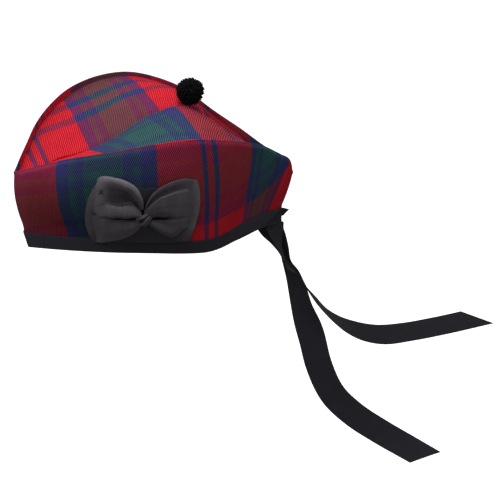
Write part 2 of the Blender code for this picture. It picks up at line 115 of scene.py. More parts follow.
# The rims in the same way. Flare is how far out the binding's top is, belly how much of the full bulge
# the wall takes there, and tuck how much of its drop the crown's edge lies under the rim.
Rim = namedtuple("Rim", "girth along side height flare belly tuck")
RIM = {
    LEFT: [
        Rim(0.00, 0.000, 0.000, 0.610, 0.36, 1.0, 1.0),
        Rim(0.04, 0.022, 0.136, 0.661, 0.30, 1.0, 1.0),
        Rim(0.10, 0.062, 0.326, 0.742, 0.20, 1.0, 1.0),
        Rim(0.18, 0.120, 0.574, 0.843, 0.12, 1.0, 1.0),
        Rim(0.26, 0.194, 0.797, 0.921, 0.10, 1.0, 1.0),
        Rim(0.34, 0.286, 0.958, 0.978, 0.12, 1.0, 1.0),
        Rim(0.42, 0.393, 1.000, 1.000, 0.20, 1.0, 1.0),
        Rim(0.50, 0.502, 0.965, 0.983, 0.32, 1.0, 1.0),
        Rim(0.58, 0.602, 0.866, 0.919, 0.42, 1.0, 1.0),
        Rim(0.66, 0.688, 0.692, 0.835, 0.42, 1.0, 1.0),
        Rim(0.74, 0.763, 0.490, 0.740, 0.32, 0.9, 1.0),
        Rim(0.82, 0.844, 0.323, 0.638, 0.24, 0.8, 1.0),
        Rim(0.90, 0.926, 0.186, 0.505, 0.20, 0.6, 1.0),
        Rim(0.96, 0.985, 0.080, 0.394, 0.22, 0.3, 1.0),
        Rim(1.00, 1.0035, 0.000, 0.272, 0.30, 0.2, 1.0),
    ],
    RIGHT: [
        Rim(0.00, 0.000, 0.000, 0.610, 0.36, 1.0, 1.0),
        Rim(0.04, 0.024, 0.120, 0.651, 0.30, 0.7, 1.0),
        Rim(0.10, 0.067, 0.290, 0.725, 0.20, 0.5, 1.0),
        Rim(0.18, 0.126, 0.522, 0.817, 0.12, 0.5, 1.0),
        Rim(0.26, 0.202, 0.740, 0.894, 0.10, 0.5, 0.9),
        Rim(0.34, 0.288, 0.905, 0.954, 0.12, 0.5, 0.7),
        Rim(0.42, 0.393, 0.985, 0.996, 0.20, 0.5, 0.4),
        Rim(0.50, 0.502, 0.985, 1.000, 0.28, 0.5, 0.3),
        Rim(0.58, 0.602, 0.905, 0.948, 0.34, 0.5, 0.3),
        Rim(0.66, 0.690, 0.740, 0.866, 0.34, 0.5, 0.4),
        Rim(0.74, 0.763, 0.495, 0.738, 0.30, 0.5, 0.6),
        Rim(0.82, 0.838, 0.292, 0.618, 0.24, 0.5, 0.8),
        Rim(0.90, 0.917, 0.155, 0.475, 0.20, 0.4, 1.0),
        Rim(0.96, 0.983, 0.070, 0.378, 0.22, 0.3, 1.0),
        Rim(1.00, 1.0035, 0.000, 0.272, 0.30, 0.2, 1.0),
    ],
}
Section = namedtuple("Section", "rise bulge")
WALL_SECTION = [
    Section(0.00, 0.00),
    Section(0.12, 0.13),
    Section(0.33, 0.40),
    Section(0.54, 0.52),
    Section(0.77, 0.41),
    Section(0.88, 0.24),
    Section(1.00, 0.00),
]
# Slack in the cloth, as waves: how deep, how long along the wall and up it, and where each starts.
Wave = namedtuple("Wave", "depth along upward start")
WALL_SLACK = [
    Wave(0.00035, 0.083, 0.210, 0.6),
    Wave(0.00025, 0.047, -0.120, 2.1),
    Wave(0.00014, 0.029, 0.061, 4.0),
    Wave(0.00008, 0.013, -0.037, 1.2),
]
# The sett in millimetres from the middle of the narrow red line outwards, and it turns back on itself at
# its end, the middle of the green: red, narrow blue, wide red, blue, green.
Band = namedtuple("Band", "width colour")
RED, BLUE, GREEN = (0.60, 0.020, 0.033), (0.042, 0.043, 0.165), (0.035, 0.094, 0.096)
DIM_BLUE, DIM_GREEN = (0.037, 0.052, 0.140), (0.034, 0.078, 0.108)
SETT = [
    Band(3.0, RED),
    Band(4.5, BLUE),
    Band(43.0, RED),
    Band(12.0, BLUE),
    Band(6.0, DIM_GREEN),
    Band(7.0, DIM_BLUE),
    Band(15.5, GREEN),
]
HALF_SETT = sum(band.width for band in SETT)
WIDE_RED_END = sum(band.width for band in SETT[:3])
# Where the warp's bands stand on a wall, as shares of its girth at the rim, half way up and at the bottom.
Stripe = namedtuple("Stripe", "top middle bottom sett")
WALL_WARP = {
    LEFT: [
        Stripe(0.000, 0.000, 0.000, -172.0),
        Stripe(0.149, 0.154, 0.121, -131.5),
        Stripe(0.406, 0.409, 0.416, -50.5),
        Stripe(0.526, 0.545, 0.578, -5.3),
        Stripe(0.560, 0.579, 0.615, 5.3),
        Stripe(0.755, 0.740, 0.754, 50.5),
        Stripe(0.943, 0.910, 0.920, 131.5),
        Stripe(1.000, 1.000, 1.000, 152.0),
    ],
    RIGHT: [Stripe(0.0, 0.0, 0.0, -250.0), Stripe(1.0, 1.0, 1.0, 103.0)],
}
# How high the lower edge of the wide weft band lies on a wall, in millimetres above the origin, and how
# much of the sett each millimetre of height takes.
Level = namedtuple("Level", "girth height")
WEFT_PACE = 0.94
WALL_WEFT = [
    Level(0.000, -9.0),
    Level(0.080, 1.0),
    Level(0.158, 11.5),
    Level(0.250, 22.0),
    Level(0.330, 28.0),
    Level(0.406, 31.0),
    Level(0.506, 30.5),
    Level(0.640, 31.0),
    Level(0.742, 27.5),
    Level(0.844, 31.0),
    Level(0.922, 42.0),
    Level(1.000, 50.0),
]


def read(table, column, at):
    """A column's value at each place: the cubic through each two rows whose slopes are the table's own."""
    places = np.array([row[0] for row in table], float)
    values = np.array([getattr(row, column) for row in table], float)
    slopes = np.gradient(values, places)
    at = np.asarray(at, float)
    row = np.clip(np.searchsorted(places, at, side="right") - 1, 0, len(places) - 2)
    span = places[row + 1] - places[row]
    u = (at - places[row]) / span
    return (
        values[row] * (1 + 2 * u) * (1 - u) ** 2
        + slopes[row] * span * u * (1 - u) ** 2
        + values[row + 1] * u**2 * (3 - 2 * u)
        + slopes[row + 1] * span * u**2 * (u - 1)
    )


def unit(vectors):
    """Vectors divided by their own length."""
    return vectors / np.maximum(np.linalg.norm(vectors, axis=-1, keepdims=True), 1e-12)


def grown(distance, reach):
    """From 0 at the start to 1 at the reach in a straight line, and 1 beyond it."""
    return np.clip(distance / reach, 0, 1)


def bell(distance, reach):
    """1 in the middle, falling off as e to the minus square of the distance over the reach."""
    return np.exp(-((distance / reach) ** 2))


def spaced(*stretches):
    """Places from 0 upwards, evenly spaced in each stretch, which says where it ends and in how many
    steps."""
    places = np.zeros(1)
    for end, steps in stretches:
        places = np.concatenate([places, np.linspace(places[-1], end, steps + 1)[1:]])
    return places


def run_along(points, axis=0):
    """The length run from the first point to each, along one axis of a grid of points."""
    steps = np.linalg.norm(np.diff(points, axis=axis), axis=-1)
    return np.insert(np.cumsum(steps, axis=axis), 0, 0, axis=axis)


def both_faces(values, turn=0):
    """Values over one face, the last of them so many times for the turn at its edge, and back again."""
    return np.concatenate([values, np.repeat(values[:, -1:], turn, axis=1), values[:, ::-1]], axis=1)


def layer(first, second):
    """The two coordinates of a pattern for each point of a piece."""
    return np.stack(np.broadcast_arrays(first, second), -1)


def rim_height(side, girth):
    """Height of the rim above the bottom edge: the difference of the two tables times the wall height."""
    return WALL_HEIGHT * (read(RIM[side], "height", girth) - read(BOTTOM_EDGE, "height", girth))


def bound_rise(side, girth):
    """The binding's height divided by the wall's."""
    return BINDING_HEIGHT / rim_height(side, girth)


def wall_face(side, girth, rise):
    """A wall's outer face: bottom edge to rim in a straight line, times a reach that flares under the
    binding and bulges above it."""
    low_x = OPENING_LENGTH * (read(BOTTOM_EDGE, "along", girth) - 0.5)
    low_y = OPENING_WIDTH / 2 * read(BOTTOM_EDGE, "side", girth)
    low_z = WALL_HEIGHT * read(BOTTOM_EDGE, "height", girth)
    rim_x = RIM_START + RIM_LENGTH * read(RIM[side], "along", girth)
    rim_y = RIM_WIDTH / 2 * read(RIM[side], "side", girth)
    bound = bound_rise(side, girth)
    flare, belly = read(RIM[side], "flare", girth), read(RIM[side], "belly", girth)
    above = (rise - bound) / (1 - bound)
    bellied = flare + (1 - flare) * (above + belly * read(WALL_SECTION, "bulge", above))
    reach = np.where(rise < bound, flare * rise / bound, bellied)
    x = low_x + (rim_x - low_x) * reach
    y = low_y + (rim_y - low_y) * reach
    z = low_z + rim_height(side, girth) * rise
    return np.stack(np.broadcast_arrays(x, side * (y + SEAM_GAP / 2), z), axis=-1)


def wall_normal(side, girth, rise):
    """The outward normal: the cross product of the face's two slopes, taken over a thousandth."""
    step = 1e-3
    along = wall_face(side, np.minimum(girth + step, 1), rise)
    along = along - wall_face(side, np.maximum(girth - step, 0), rise)
    upward = wall_face(side, girth, np.minimum(rise + step, 1))
    upward = upward - wall_face(side, girth, np.maximum(rise - step, 0))
    return unit(-side * np.cross(along, upward))


def wall_offset(side, girth, rise, out):
    """The face moved out along its normal, or on the seams along the mitre of both walls' normals."""
    girth, rise = np.broadcast_arrays(np.asarray(girth, float), np.asarray(rise, float))
    normal = wall_normal(side, girth, rise)
    mitre = (normal + wall_normal(-side, girth, rise)) / 2 * [1, 0, 1]
    mitre = mitre / np.maximum((mitre**2).sum(axis=-1, keepdims=True), 1e-6)
    on_seam = ((girth == 0) | (girth == 1))[..., None]
    out = np.broadcast_to(out, girth.shape)[..., None]
    blunt = np.minimum(1, MITRE_LIMIT / np.maximum(np.linalg.norm(mitre, axis=-1, keepdims=True), 1e-6))
    mitre = mitre * np.where(out > 0, blunt, 1)
    return wall_face(side, girth, rise) + out * np.where(on_seam, mitre, normal)


def slack(table, along, upward):
    """Sum of sine waves: depth times the sine of how many wavelengths each place is along and up."""
    total = 0
    for wave in table:
        turns = along / wave.along + upward / wave.upward
        total = total + wave.depth * np.sin(2 * np.pi * turns + wave.start)
    return total


def sett_place(stripes, at, down):
    """Sett place of cloth places: straight lines between the stripes, and each stripe is the parabola
    through its three places."""
    at, down = np.broadcast_arrays(at, down)
    place = np.zeros(at.shape)
    shares = (1 - down) * (1 - 2 * down), 4 * down * (1 - down), down * (2 * down - 1)
    for left, right in zip(stripes[:-1], stripes[1:]):
        start, end = [sum(share * stripe[n] for n, share in enumerate(shares)) for stripe in (left, right)]
        first, last = left is stripes[0], right is stripes[-1]
        inside = ((at >= start) | first) & ((at < end) | last)
        between = left.sett + (right.sett - left.sett) * (at - start) / (end - start)
        place = np.where(inside, between, place)
    return place


def new_piece(name, points, faces, material):
    """A smoothly shaded object of one material."""
    mesh = bpy.data.meshes.new(name)
    mesh.from_pydata(points, [], faces)
    mesh.materials.append(material)
    mesh.shade_smooth()
    piece = bpy.data.objects.new(name, mesh)
    scene.collection.objects.link(piece)
    return piece


def skin(name, sections, material, layers, ring=False, sharp=50):
    """A closed mesh from a grid of sections: each section goes once round the piece, its two ends are
    filled by pairs of points from both sides, and all faces turn round if the volume comes out negative.
    Where two faces meet at more than the sharp angle, the edge between them stays sharp."""
    count, size = sections.shape[:2]
    i, j = np.meshgrid(np.arange(count if ring else count - 1), np.arange(size), indexing="ij")
    k = (j + 1) % size
    quads = np.stack([i * size + j, (i + 1) * size + j, (i + 1) * size + k, i * size + k], -1)
    quads = [quads.reshape(-1, 4)]
    if not ring:
        j = np.arange(size // 2 - 1)
        cap = np.stack([j, j + 1, size - 2 - j, size - 1 - j], -1)
        quads += [cap, cap[:, ::-1] + (count - 1) * size]
    corners = np.concatenate(quads)
    points = sections.reshape(-1, 3)
    faces = corners % len(points)
    tri = points[np.concatenate([faces[:, [0, 1, 2]], faces[:, [0, 2, 3]]])]
    if np.einsum("ij,ij->", tri[:, 0], np.cross(tri[:, 1], tri[:, 2])) < 0:
        corners, faces = corners[:, ::-1], faces[:, ::-1]
    piece = new_piece(name, points.tolist(), faces.tolist(), material)
    for title, places in layers.items():
        if ring:
            # A ring's last quads end one step past its last section.
            whole_turn = 2 * places[-1, 0, 0] - places[-2, 0, 0] - places[0, 0, 0]
            places = np.concatenate([places, places[:1] + [[whole_turn, 0]]])
        flat = places.reshape(-1, 2)[corners.ravel()].ravel()
        piece.data.uv_layers.new(name=title).data.foreach_set("uv", flat.astype(np.float32))
    piece.data.set_sharp_from_angle(angle=math.radians(sharp))
    return piece


def fasten(piece, node):
    """Stands in for the frame's solid of that node, and rides on the cap."""
    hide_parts(node)
    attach(piece, "root")


def join(material, value, socket):
    """Gives a socket a value, or joins another node's output to it."""
    if isinstance(value, bpy.types.NodeSocket):
        material.node_tree.links.new(value, socket)
    else:
        socket.default_value = value


def new_node(material, kind, inputs, **settings):
    """A new node with its settings, and a value or an output for each of the inputs named."""
    node = material.node_tree.nodes.new(kind)
    for key, value in settings.items():
        setattr(node, key, value)
    for place, value in inputs.items():
        join(material, value, node.inputs[place])
    return node


def calc(material, operation, *values):
    """One step of arithmetic."""
    return new_node(material, "ShaderNodeMath", dict(enumerate(values)), operation=operation).outputs[0]


def product(material, first, *others):
    """All the values multiplied."""
    for value in others:
        first = calc(material, "MULTIPLY", first, value)
    return first


def mix(material, share, first, second, blend="MIX"):
    """A colour between two others, or the two blended in another way, by a share."""
    inputs = {0: share, 6: first, 7: second}
    return new_node(material, "ShaderNodeMix", inputs, data_type="RGBA", blend_type=blend).outputs[2]


SHEEN_ROUGHNESS = 0.45


def new_material(name, roughness, specular=0.5, sheen=0.0):
    """A matt material of its own, whose nodes the other functions add."""
    material = bpy.data.materials.new(name)
    material.use_nodes = True
    looks = {"Roughness": roughness, "Specular IOR Level": specular}
    looks.update({"Sheen Weight": sheen, "Sheen Roughness": SHEEN_ROUGHNESS})
    for title, value in looks.items():
        join(material, value, material.node_tree.nodes["Principled BSDF"].inputs[title])
    return material


def colour_and_shade(material, colour, shade):
    """The material's colour, times a shade, which carries its random tone and any painted light and shade."""
    grey = new_node(material, "ShaderNodeCombineColor", {0: shade, 1: shade, 2: shade}).outputs[0]
    shader = material.node_tree.nodes["Principled BSDF"]
    join(material, mix(material, 1.0, colour, grey, "MULTIPLY"), shader.inputs["Base Color"])


def emboss(material, height, distance, strength):
    """The material's fine relief: a height from 0 to 1 that stands for a distance."""
    inputs = {"Strength": strength, "Distance": distance, "Height": height}
    raised = new_node(material, "ShaderNodeBump", inputs).outputs["Normal"]
    join(material, raised, material.node_tree.nodes["Principled BSDF"].inputs["Normal"])


def pattern(material, title):
    """The two coordinates of a piece's layer."""
    places = new_node(material, "ShaderNodeUVMap", {}, uv_map=title).outputs[0]
    return tuple(new_node(material, "ShaderNodeSeparateXYZ", {0: places}).outputs)[:2]


# A cloudiness: how many cells it has to a metre, its octaves, and how far it strays in all.
Clouds = namedtuple("Clouds", "cells octaves depth")


def noise(material, clouds):
    """A cloudy value about 0.5 from the piece's own place."""
    place = material.node_tree.nodes.new("ShaderNodeTexCoord").outputs["Object"]
    inputs = {"Vector": place, "Scale": clouds.cells, "Detail": clouds.octaves}
    return new_node(material, "ShaderNodeTexNoise", inputs).outputs["Fac"]


def stray(material, clouds, middle):
    """A value that strays about the middle by half the clouds' depth to each side."""
    return calc(material, "MULTIPLY_ADD", noise(material, clouds), clouds.depth, middle - clouds.depth / 2)


def half_waves(material, place):
    """A round thread or rib for each whole number: high along its middle line, low at both its edges."""
    return calc(material, "ABSOLUTE", calc(material, "SINE", product(material, place, math.pi)))


def sett_colour(material, place):
    """The sett's colour at a place in millimetres: the place is folded to and fro over half a sett."""
    folded = calc(material, "PINGPONG", place, HALF_SETT)
    ramp = new_node(material, "ShaderNodeValToRGB", {0: calc(material, "DIVIDE", folded, HALF_SETT)})
    ramp.color_ramp.interpolation = "CONSTANT"
    stops = ramp.color_ramp.elements
    edge = 0
    for number, band in enumerate(SETT):
        stop = stops[0] if number == 0 else stops.new(edge / HALF_SETT)
        stop.color = (*band.colour, 1)
        edge += band.width
    stops.remove(stops[-1])
    return ramp.outputs[0]


# The pitch of the warp and the weft threads in millimetres, how much lighter the slanting wales are painted
# than the grooves between them, and how far the darker thread's fuzz veils the lighter one where they cross.
END_PITCH, PICK_PITCH, WALE, VEIL = 0.48, 0.95, 0.66, 0.32
# The painted shade at a thread's edge and how much lighter its middle is painted, how far the wale stands
# above a thread, and the relief's distance and strength.
THREAD_EDGE, THREAD_MIDDLE, WALE_RELIEF, CLOTH_RELIEF, RELIEF_STRENGTH = 0.86, 0.22, 0.6, 0.00010, 0.8
# How many threads the weave strays to and fro, and the cloudiness of the dye and of the wool's fuzz.
THREAD_STRAY, DYE, FUZZ = Clouds(110, 1.0, 3.0), Clouds(70, 3.0, 0.30), Clouds(1900, 2.0, 0.50)
# Near the walls' front the wales stand out less: how little there and how far from the seam; and painted
# light
# there: how much lighter the cloth is painted below the rim, and how far down that fades.
FLAT_FRONT, FRONT_GIRTH, FRONT_PAINTED_LIGHT, FADE_REACH = 0.25, 0.22, 0.24, 0.025


def tartan_cloth():
    """Two-and-two twill: a warp and a weft thread cross at each cell of the weave, the warp lies on top where
    the cell's column less its row, counted in fours, is 0 or 1, and each thread has its sett's colour."""
    material = new_material("tartan_wool", 0.95, specular=0.05)
    (warp, weft), weave, flat_wales_and_painted_shade = [pattern(material, title) for title in ("sett", "weave", "flat_wales_and_painted_shade")]
    warp, weft = sett_colour(material, warp), sett_colour(material, weft)
    across = calc(material, "DIVIDE", weave[0], END_PITCH)
    column = calc(material, "ADD", across, stray(material, THREAD_STRAY, 0))
    row = calc(material, "DIVIDE", weave[1], PICK_PITCH)
    cell = calc(material, "SUBTRACT", calc(material, "FLOOR", column), calc(material, "FLOOR", row))
    on_top = calc(material, "LESS_THAN", calc(material, "FLOORED_MODULO", cell, 4.0), 1.5)
    colour = mix(material, on_top, weft, warp)
    colour = mix(material, VEIL, colour, mix(material, 1.0, warp, weft, "DARKEN"))
    warp_part = product(material, half_waves(material, column), on_top)
    weft_part = product(material, half_waves(material, row), calc(material, "SUBTRACT", 1.0, on_top))
    height = calc(material, "ADD", warp_part, weft_part)
    # The wale: a slanting ridge along the warp's floats, which are half a thread from where a column begins.
    slant = calc(material, "SUBTRACT", calc(material, "SUBTRACT", column, row), 0.5)
    wale = calc(material, "COSINE", product(material, slant, math.pi / 2))
    # The layer's first coordinate flattens the wales; its second is painted shade, or painted light where it
    # is below 0.
    unflattened_wale, painted_shading = [calc(material, "SUBTRACT", 1.0, part) for part in flat_wales_and_painted_shade]
    wale = product(material, wale, unflattened_wale)
    # Painted shade of the weave: darker in the grooves between the wales and at each thread's edges.
    painted_wale_shade = calc(material, "MULTIPLY_ADD", wale, WALE, 1.0)
    threads = calc(material, "MULTIPLY_ADD", height, THREAD_MIDDLE, THREAD_EDGE)
    cloudy, fuzzy = stray(material, DYE, 1), stray(material, FUZZ, 1)
    colour_and_shade(material, colour, product(material, painted_wale_shade, threads, cloudy, fuzzy, painted_shading))
    relief = calc(material, "MULTIPLY_ADD", wale, WALE_RELIEF, height)
    emboss(material, relief, CLOTH_RELIEF, RELIEF_STRENGTH)
    return material


tartan = tartan_cloth()
# The places along and up the walls, closer together beside the seams and under the rim.
wall_girth = spaced((0.012, 6), (0.988, 329), (1, 6))
wall_rise = spaced((0.9, 59), (1, 11))


def build_wall(name, side):
    """Outer face from the bottom to the rim, half a turn round the rim, and the inner face down again."""
    girth, rise, top = wall_girth[:, None], wall_rise[None, :], len(wall_rise) - 1
    height = rim_height(side, girth)
    below_rim = (1 - rise) * height
    fold_share = 1 - grown(below_rim, RIM_FOLD)
    depth = WALL_THICKNESS + (RIM_THICKNESS[side] - WALL_THICKNESS) * fold_share
    along = run_along(wall_face(side, wall_girth, 1.0))[:, None]
    from_seam = np.minimum(along, along[-1] - along)
    free = grown(rise - bound_rise(side, girth), SLACK_GROWTH) * grown(below_rim, RIM_CALM)
    dip = SEAM_DIP * bell(from_seam, SEAM_REACH) * grown(free, DIP_GROWTH)
    lean = RIM_LEAN * RIM_THICKNESS[side] * (1 - grown(below_rim, RIM_SOFT)) ** 2
    waves = slack(WALL_SLACK, along, rise * height) * free
    outer = wall_offset(side, girth, rise, (waves - lean) * grown(from_seam, SEAM_CALM) - dip)
    inner = wall_offset(side, girth, rise, -depth)
    # The rim's half turn: from the outer to the inner edge, raised by the sine of the angle.
    turned = np.linspace(0, np.pi, RIM_TURN + 2)[1:-1][None, :, None]
    rim = outer[:, -1:] + (inner[:, -1:] - outer[:, -1:]) * (1 - np.cos(turned)) / 2
    rim = rim + np.array([0, 0, RIM_ROUNDING]) * np.sin(turned)
    sections = np.concatenate([outer, rim, inner[:, ::-1]], axis=1)
    upward = run_along(sections, axis=1)
    upward = (upward - upward[:, [top]]) * MM
    warp = sett_place(WALL_WARP[side], girth, 1 - both_faces(rise, RIM_TURN))
    weft = (sections[:, :, 2] * MM - read(WALL_WEFT, "height", girth)) * WEFT_PACE + WIDE_RED_END
    weft = np.where(upward > 0, weft[:, [top]] + upward, weft)
    near_front = 1 - grown(girth, FRONT_GIRTH)
    # Painted light on the walls' front, strongest just below the rim.
    painted_light = FRONT_PAINTED_LIGHT * both_faces(near_front**0.5 * np.exp(-below_rim / FADE_REACH), RIM_TURN)
    layers = {"sett": layer(warp, weft), "weave": layer(along * MM, upward)}
    layers["flat_wales_and_painted_shade"] = layer((1 - FLAT_FRONT) * near_front, -painted_light)
    fasten(skin(name, sections, tartan, layers), name.replace("wall_cloth", "side_wall"))


build_wall("wall_cloth_left", LEFT)
build_wall("wall_cloth_right", RIGHT)

# Crown
# Two more pieces of the tartan, cut so that their stripes don't meet, sewn inside the rims and to each
# other along the crease. The seam pulls the cloth down into a fine groove and puckers it a little.
CROWN_THICKNESS, CROWN_DROP, CROWN_SWELL, CROWN_END_WIDTH = 0.0020, 0.0045, 0.004, 0.0016
CROWN_ROWS, CROWN_COLUMNS, CROWN_TRIES = 320, 46, 1000
CREASE_DIP, CREASE_REACH, CREASE_LAP = 0.0012, 0.0030, 0.0004
PUCKER_DEPTH, PUCKER_LENGTH, PUCKER_REACH, PUCKER_GROWTH = 0.00028, 0.0085, 0.006, 0.002
# How far from the sewn edge and from the crease the slack is at its full, and how wide a half has to be
# for the crease's dip to be.
EDGE_CALM, CREASE_CALM, DIP_WIDTH = 0.012, 0.008, 0.010
SEWN_DROP = {LEFT: 0.0, RIGHT: 0.0014}
# In front the right half's sewn edge stands up and laps over the left half's in an uneven tuck, which
# draws the left half down by a share of it.
Tuck = namedtuple("Tuck", "along rise over")
TUCK_REACH, TUCK_SHARE = 0.005, {LEFT: -0.3, RIGHT: 1.0}
CREASE_TUCK = [
    Tuck(-0.135, 0.0000, 0.0000),
    Tuck(-0.122, 0.0006, 0.0004),
    Tuck(-0.112, 0.0016, 0.0006),
    Tuck(-0.102, 0.0020, 0.0014),
    Tuck(-0.090, 0.0034, 0.0002),
    Tuck(-0.080, 0.0026, 0.0006),
    Tuck(-0.070, 0.0024, 0.0010),
    Tuck(-0.060, 0.0012, 0.0004),
    Tuck(-0.048, 0.0000, 0.0000),
    Tuck(-0.036, 0.0000, 0.0000),
    Tuck(0.140, 0.0000, 0.0000),
]
Crease = namedtuple("Crease", "along height")
CROWN_CREASE = [
    Crease(0.015, 0.592),
    Crease(0.074, 0.632),
    Crease(0.160, 0.669),
    Crease(0.256, 0.714),
    Crease(0.329, 0.774),
    Crease(0.434, 0.902),
    Crease(0.487, 0.944),
    Crease(0.600, 0.976),
    Crease(0.660, 0.888),
    Crease(0.727, 0.750),
    Crease(0.980, 0.275),
]
CROWN_SLACK = [
    Wave(0.00040, 0.071, 0.064, 1.9),
    Wave(0.00025, -0.043, 0.051, 0.3),
    Wave(0.00012, 0.021, 0.033, 5.1),
]
# Where the warp's bands stand on each half, in millimetres along the cap at the rim and at the crease.
CROWN_WARP = {
    LEFT: [
        Stripe(-66.5, -68.5, -70.6, -131.5),
        Stripe(16.0, 15.0, 14.0, -50.5),
        Stripe(64.0, 64.0, 64.0, 0.0),
        Stripe(113.0, 113.0, 113.0, 50.5),
    ],
    RIGHT: [
        Stripe(-107.3, -107.3, -107.3, 0.0),
        Stripe(-65.5, -64.8, -64.0, 50.5),
        Stripe(0.8, 1.4, 2.0, 131.5),
        Stripe(37.0, 37.5, 38.0, 174.5),
    ],
}
# The weft from the crease to the rim: the sett's place at the crease, and how much each millimetre takes.
Weft = namedtuple("Weft", "start pace")
CROWN_WEFT = {LEFT: Weft(47.0, 1.0), RIGHT: Weft(26.5, -0.51)}
# In front of its last blue band the left half is red both ways. Beside the crease its weft's red is sewn in.
PLAIN_FRONT, PLAIN_RED, FIRST_WEFT = -131.5, 30.0, 50.6
# Painted shade beside the right half's rim and painted light beside the left half's: how much darker each
# half is painted there, and over what distance that fades.
RIM_SHADE, RIM_SHADE_REACH = {LEFT: -0.16, RIGHT: 0.30}, 0.014
# Painted shade behind the pompom: the crease's groove is painted dark, and so is the right half, which leans
# away from the light.
GROOVE_SHADE, GROOVE_REACH = {LEFT: 0.60, RIGHT: 0.52}, {LEFT: 0.0014, RIGHT: 0.060}
GROOVE_START, GROOVE_FULL = 0.032, 0.050


def crown_edge(side, girth):
    """The crown's sewn edge: the wall's inner face, a little below the rim."""
    drop = CROWN_DROP * read(RIM[side], "tuck", girth) + SEWN_DROP[side]
    return wall_offset(side, girth, 1 - drop / rim_height(side, girth), -(RIM_THICKNESS[side] + CLEARANCE))


def crease_height(share):
    """The crease's height at a share of the rim's length."""
    return WALL_HEIGHT * read(CROWN_CREASE, "height", share)


def build_crown(name, side):
    """Straight lines from the sewn edge to the crease, swollen by half a sine wave that grows with the
    width. The half begins and ends where it is wide enough to sew, tried at so many places."""
    girth = np.linspace(0, 1, CROWN_TRIES + 1)[1:-1]
    wide = girth[side * crown_edge(side, girth)[:, 1] > CROWN_END_WIDTH]
    edge = crown_edge(side, np.linspace(wide[0], wide[-1], CROWN_ROWS))
    crease = edge * [1, 0, 0] - np.array([0, side * CREASE_LAP, 0])
    crease[:, 2] = crease_height((edge[:, 0] - RIM_START) / RIM_LENGTH)
    inward = (1 - np.cos(np.linspace(0, np.pi, CROWN_COLUMNS))) / 2
    top = edge[:, None] * (1 - inward[:, None]) + crease[:, None] * inward[:, None]
    x, width = top[..., 0], np.abs(edge[:, 1])[:, None]
    from_crease, from_edge = width * (1 - inward), width * inward
    lift = CROWN_SWELL * width / (RIM_WIDTH / 2) * np.sin(np.pi * inward)
    free = grown(from_edge, EDGE_CALM) * grown(from_crease, CREASE_CALM)
    lift = lift + slack(CROWN_SLACK, x, top[..., 1]) * free
    lift = lift - CREASE_DIP * bell(from_crease, CREASE_REACH) * grown(width, DIP_WIDTH)
    near_crease = bell(from_crease, TUCK_REACH)
    lift = lift + near_crease * read(CREASE_TUCK, "rise", x) * TUCK_SHARE[side]
    pucker = np.cos(2 * np.pi * x / PUCKER_LENGTH) * PUCKER_DEPTH
    for away in (from_edge, from_crease):
        lift = lift + pucker * np.exp(-away / PUCKER_REACH) * grown(away, PUCKER_GROWTH)
    if side == RIGHT:
        top[..., 1] -= near_crease * read(CREASE_TUCK, "over", x)
    top[..., 2] += lift
    slope = (edge[:, 2] - crease[:, 2]) / np.abs(edge[:, 1])
    under = top - np.array([0, 0, CROWN_THICKNESS]) * np.sqrt(1 + slope**2)[:, None, None]
    sections = np.concatenate([top, under[:, ::-1]], axis=1)
    distance = run_along(top[:, ::-1], axis=1)[:, ::-1] * MM
    warp = sett_place(CROWN_WARP[side], x * MM, inward)
    weft = CROWN_WEFT[side].start + CROWN_WEFT[side].pace * distance
    if side == LEFT:
        weft = np.where(warp < PLAIN_FRONT, PLAIN_RED, np.maximum(weft, FIRST_WEFT))
    behind = grown(x - GROOVE_START, GROOVE_FULL - GROOVE_START)
    # Painted shade beside the right half's rim, painted light beside the left half's.
    dark = RIM_SHADE[side] * np.exp(-from_edge / RIM_SHADE_REACH)
    # Painted shade behind the pompom, in the crease's groove and over the right half.
    dark = dark + behind * GROOVE_SHADE[side] * bell(from_crease, GROOVE_REACH[side])
    pairs = {"sett": (warp, weft), "weave": (x * MM, side * distance), "flat_wales_and_painted_shade": (0 * dark, dark)}
    layers = {title: both_faces(layer(*pair)) for title, pair in pairs.items()}
    fasten(skin(name, sections, tartan, layers), name.replace("crown_cloth", "crown"))


build_crown("crown_cloth_left", LEFT)
build_crown("crown_cloth_right", RIGHT)

# Binding
# Black petersham ribbon folded over the bottom edge of both walls and sewn through near its upper edges.
# Its fine ribs run across it.
RIB, RIB_EDGE, RIB_MIDDLE, RIB_RELIEF, RIB_STRENGTH = 0.75, 0.80, 0.25, 0.00012, 0.6
BINDING_CLOTH, BINDING_ROUNDING, BINDING_ROWS, BINDING_STEPS = 0.0009, 0.00025, 380, 9
BINDING_ROW_HEIGHT = 1.6
RIBBON_DYE, RIBBON_FUZZ = Clouds(90, 3.0, 0.25), Clouds(2600, 2.0, 0.30)
# Longer streaks along the ribs, where some lie closer together than others: how many to a millimetre
# along the ribbon and across it, and how far their shade strays.
STREAK_ALONG, STREAK_ACROSS, STREAK_DEPTH = 0.8, 0.07, 0.5


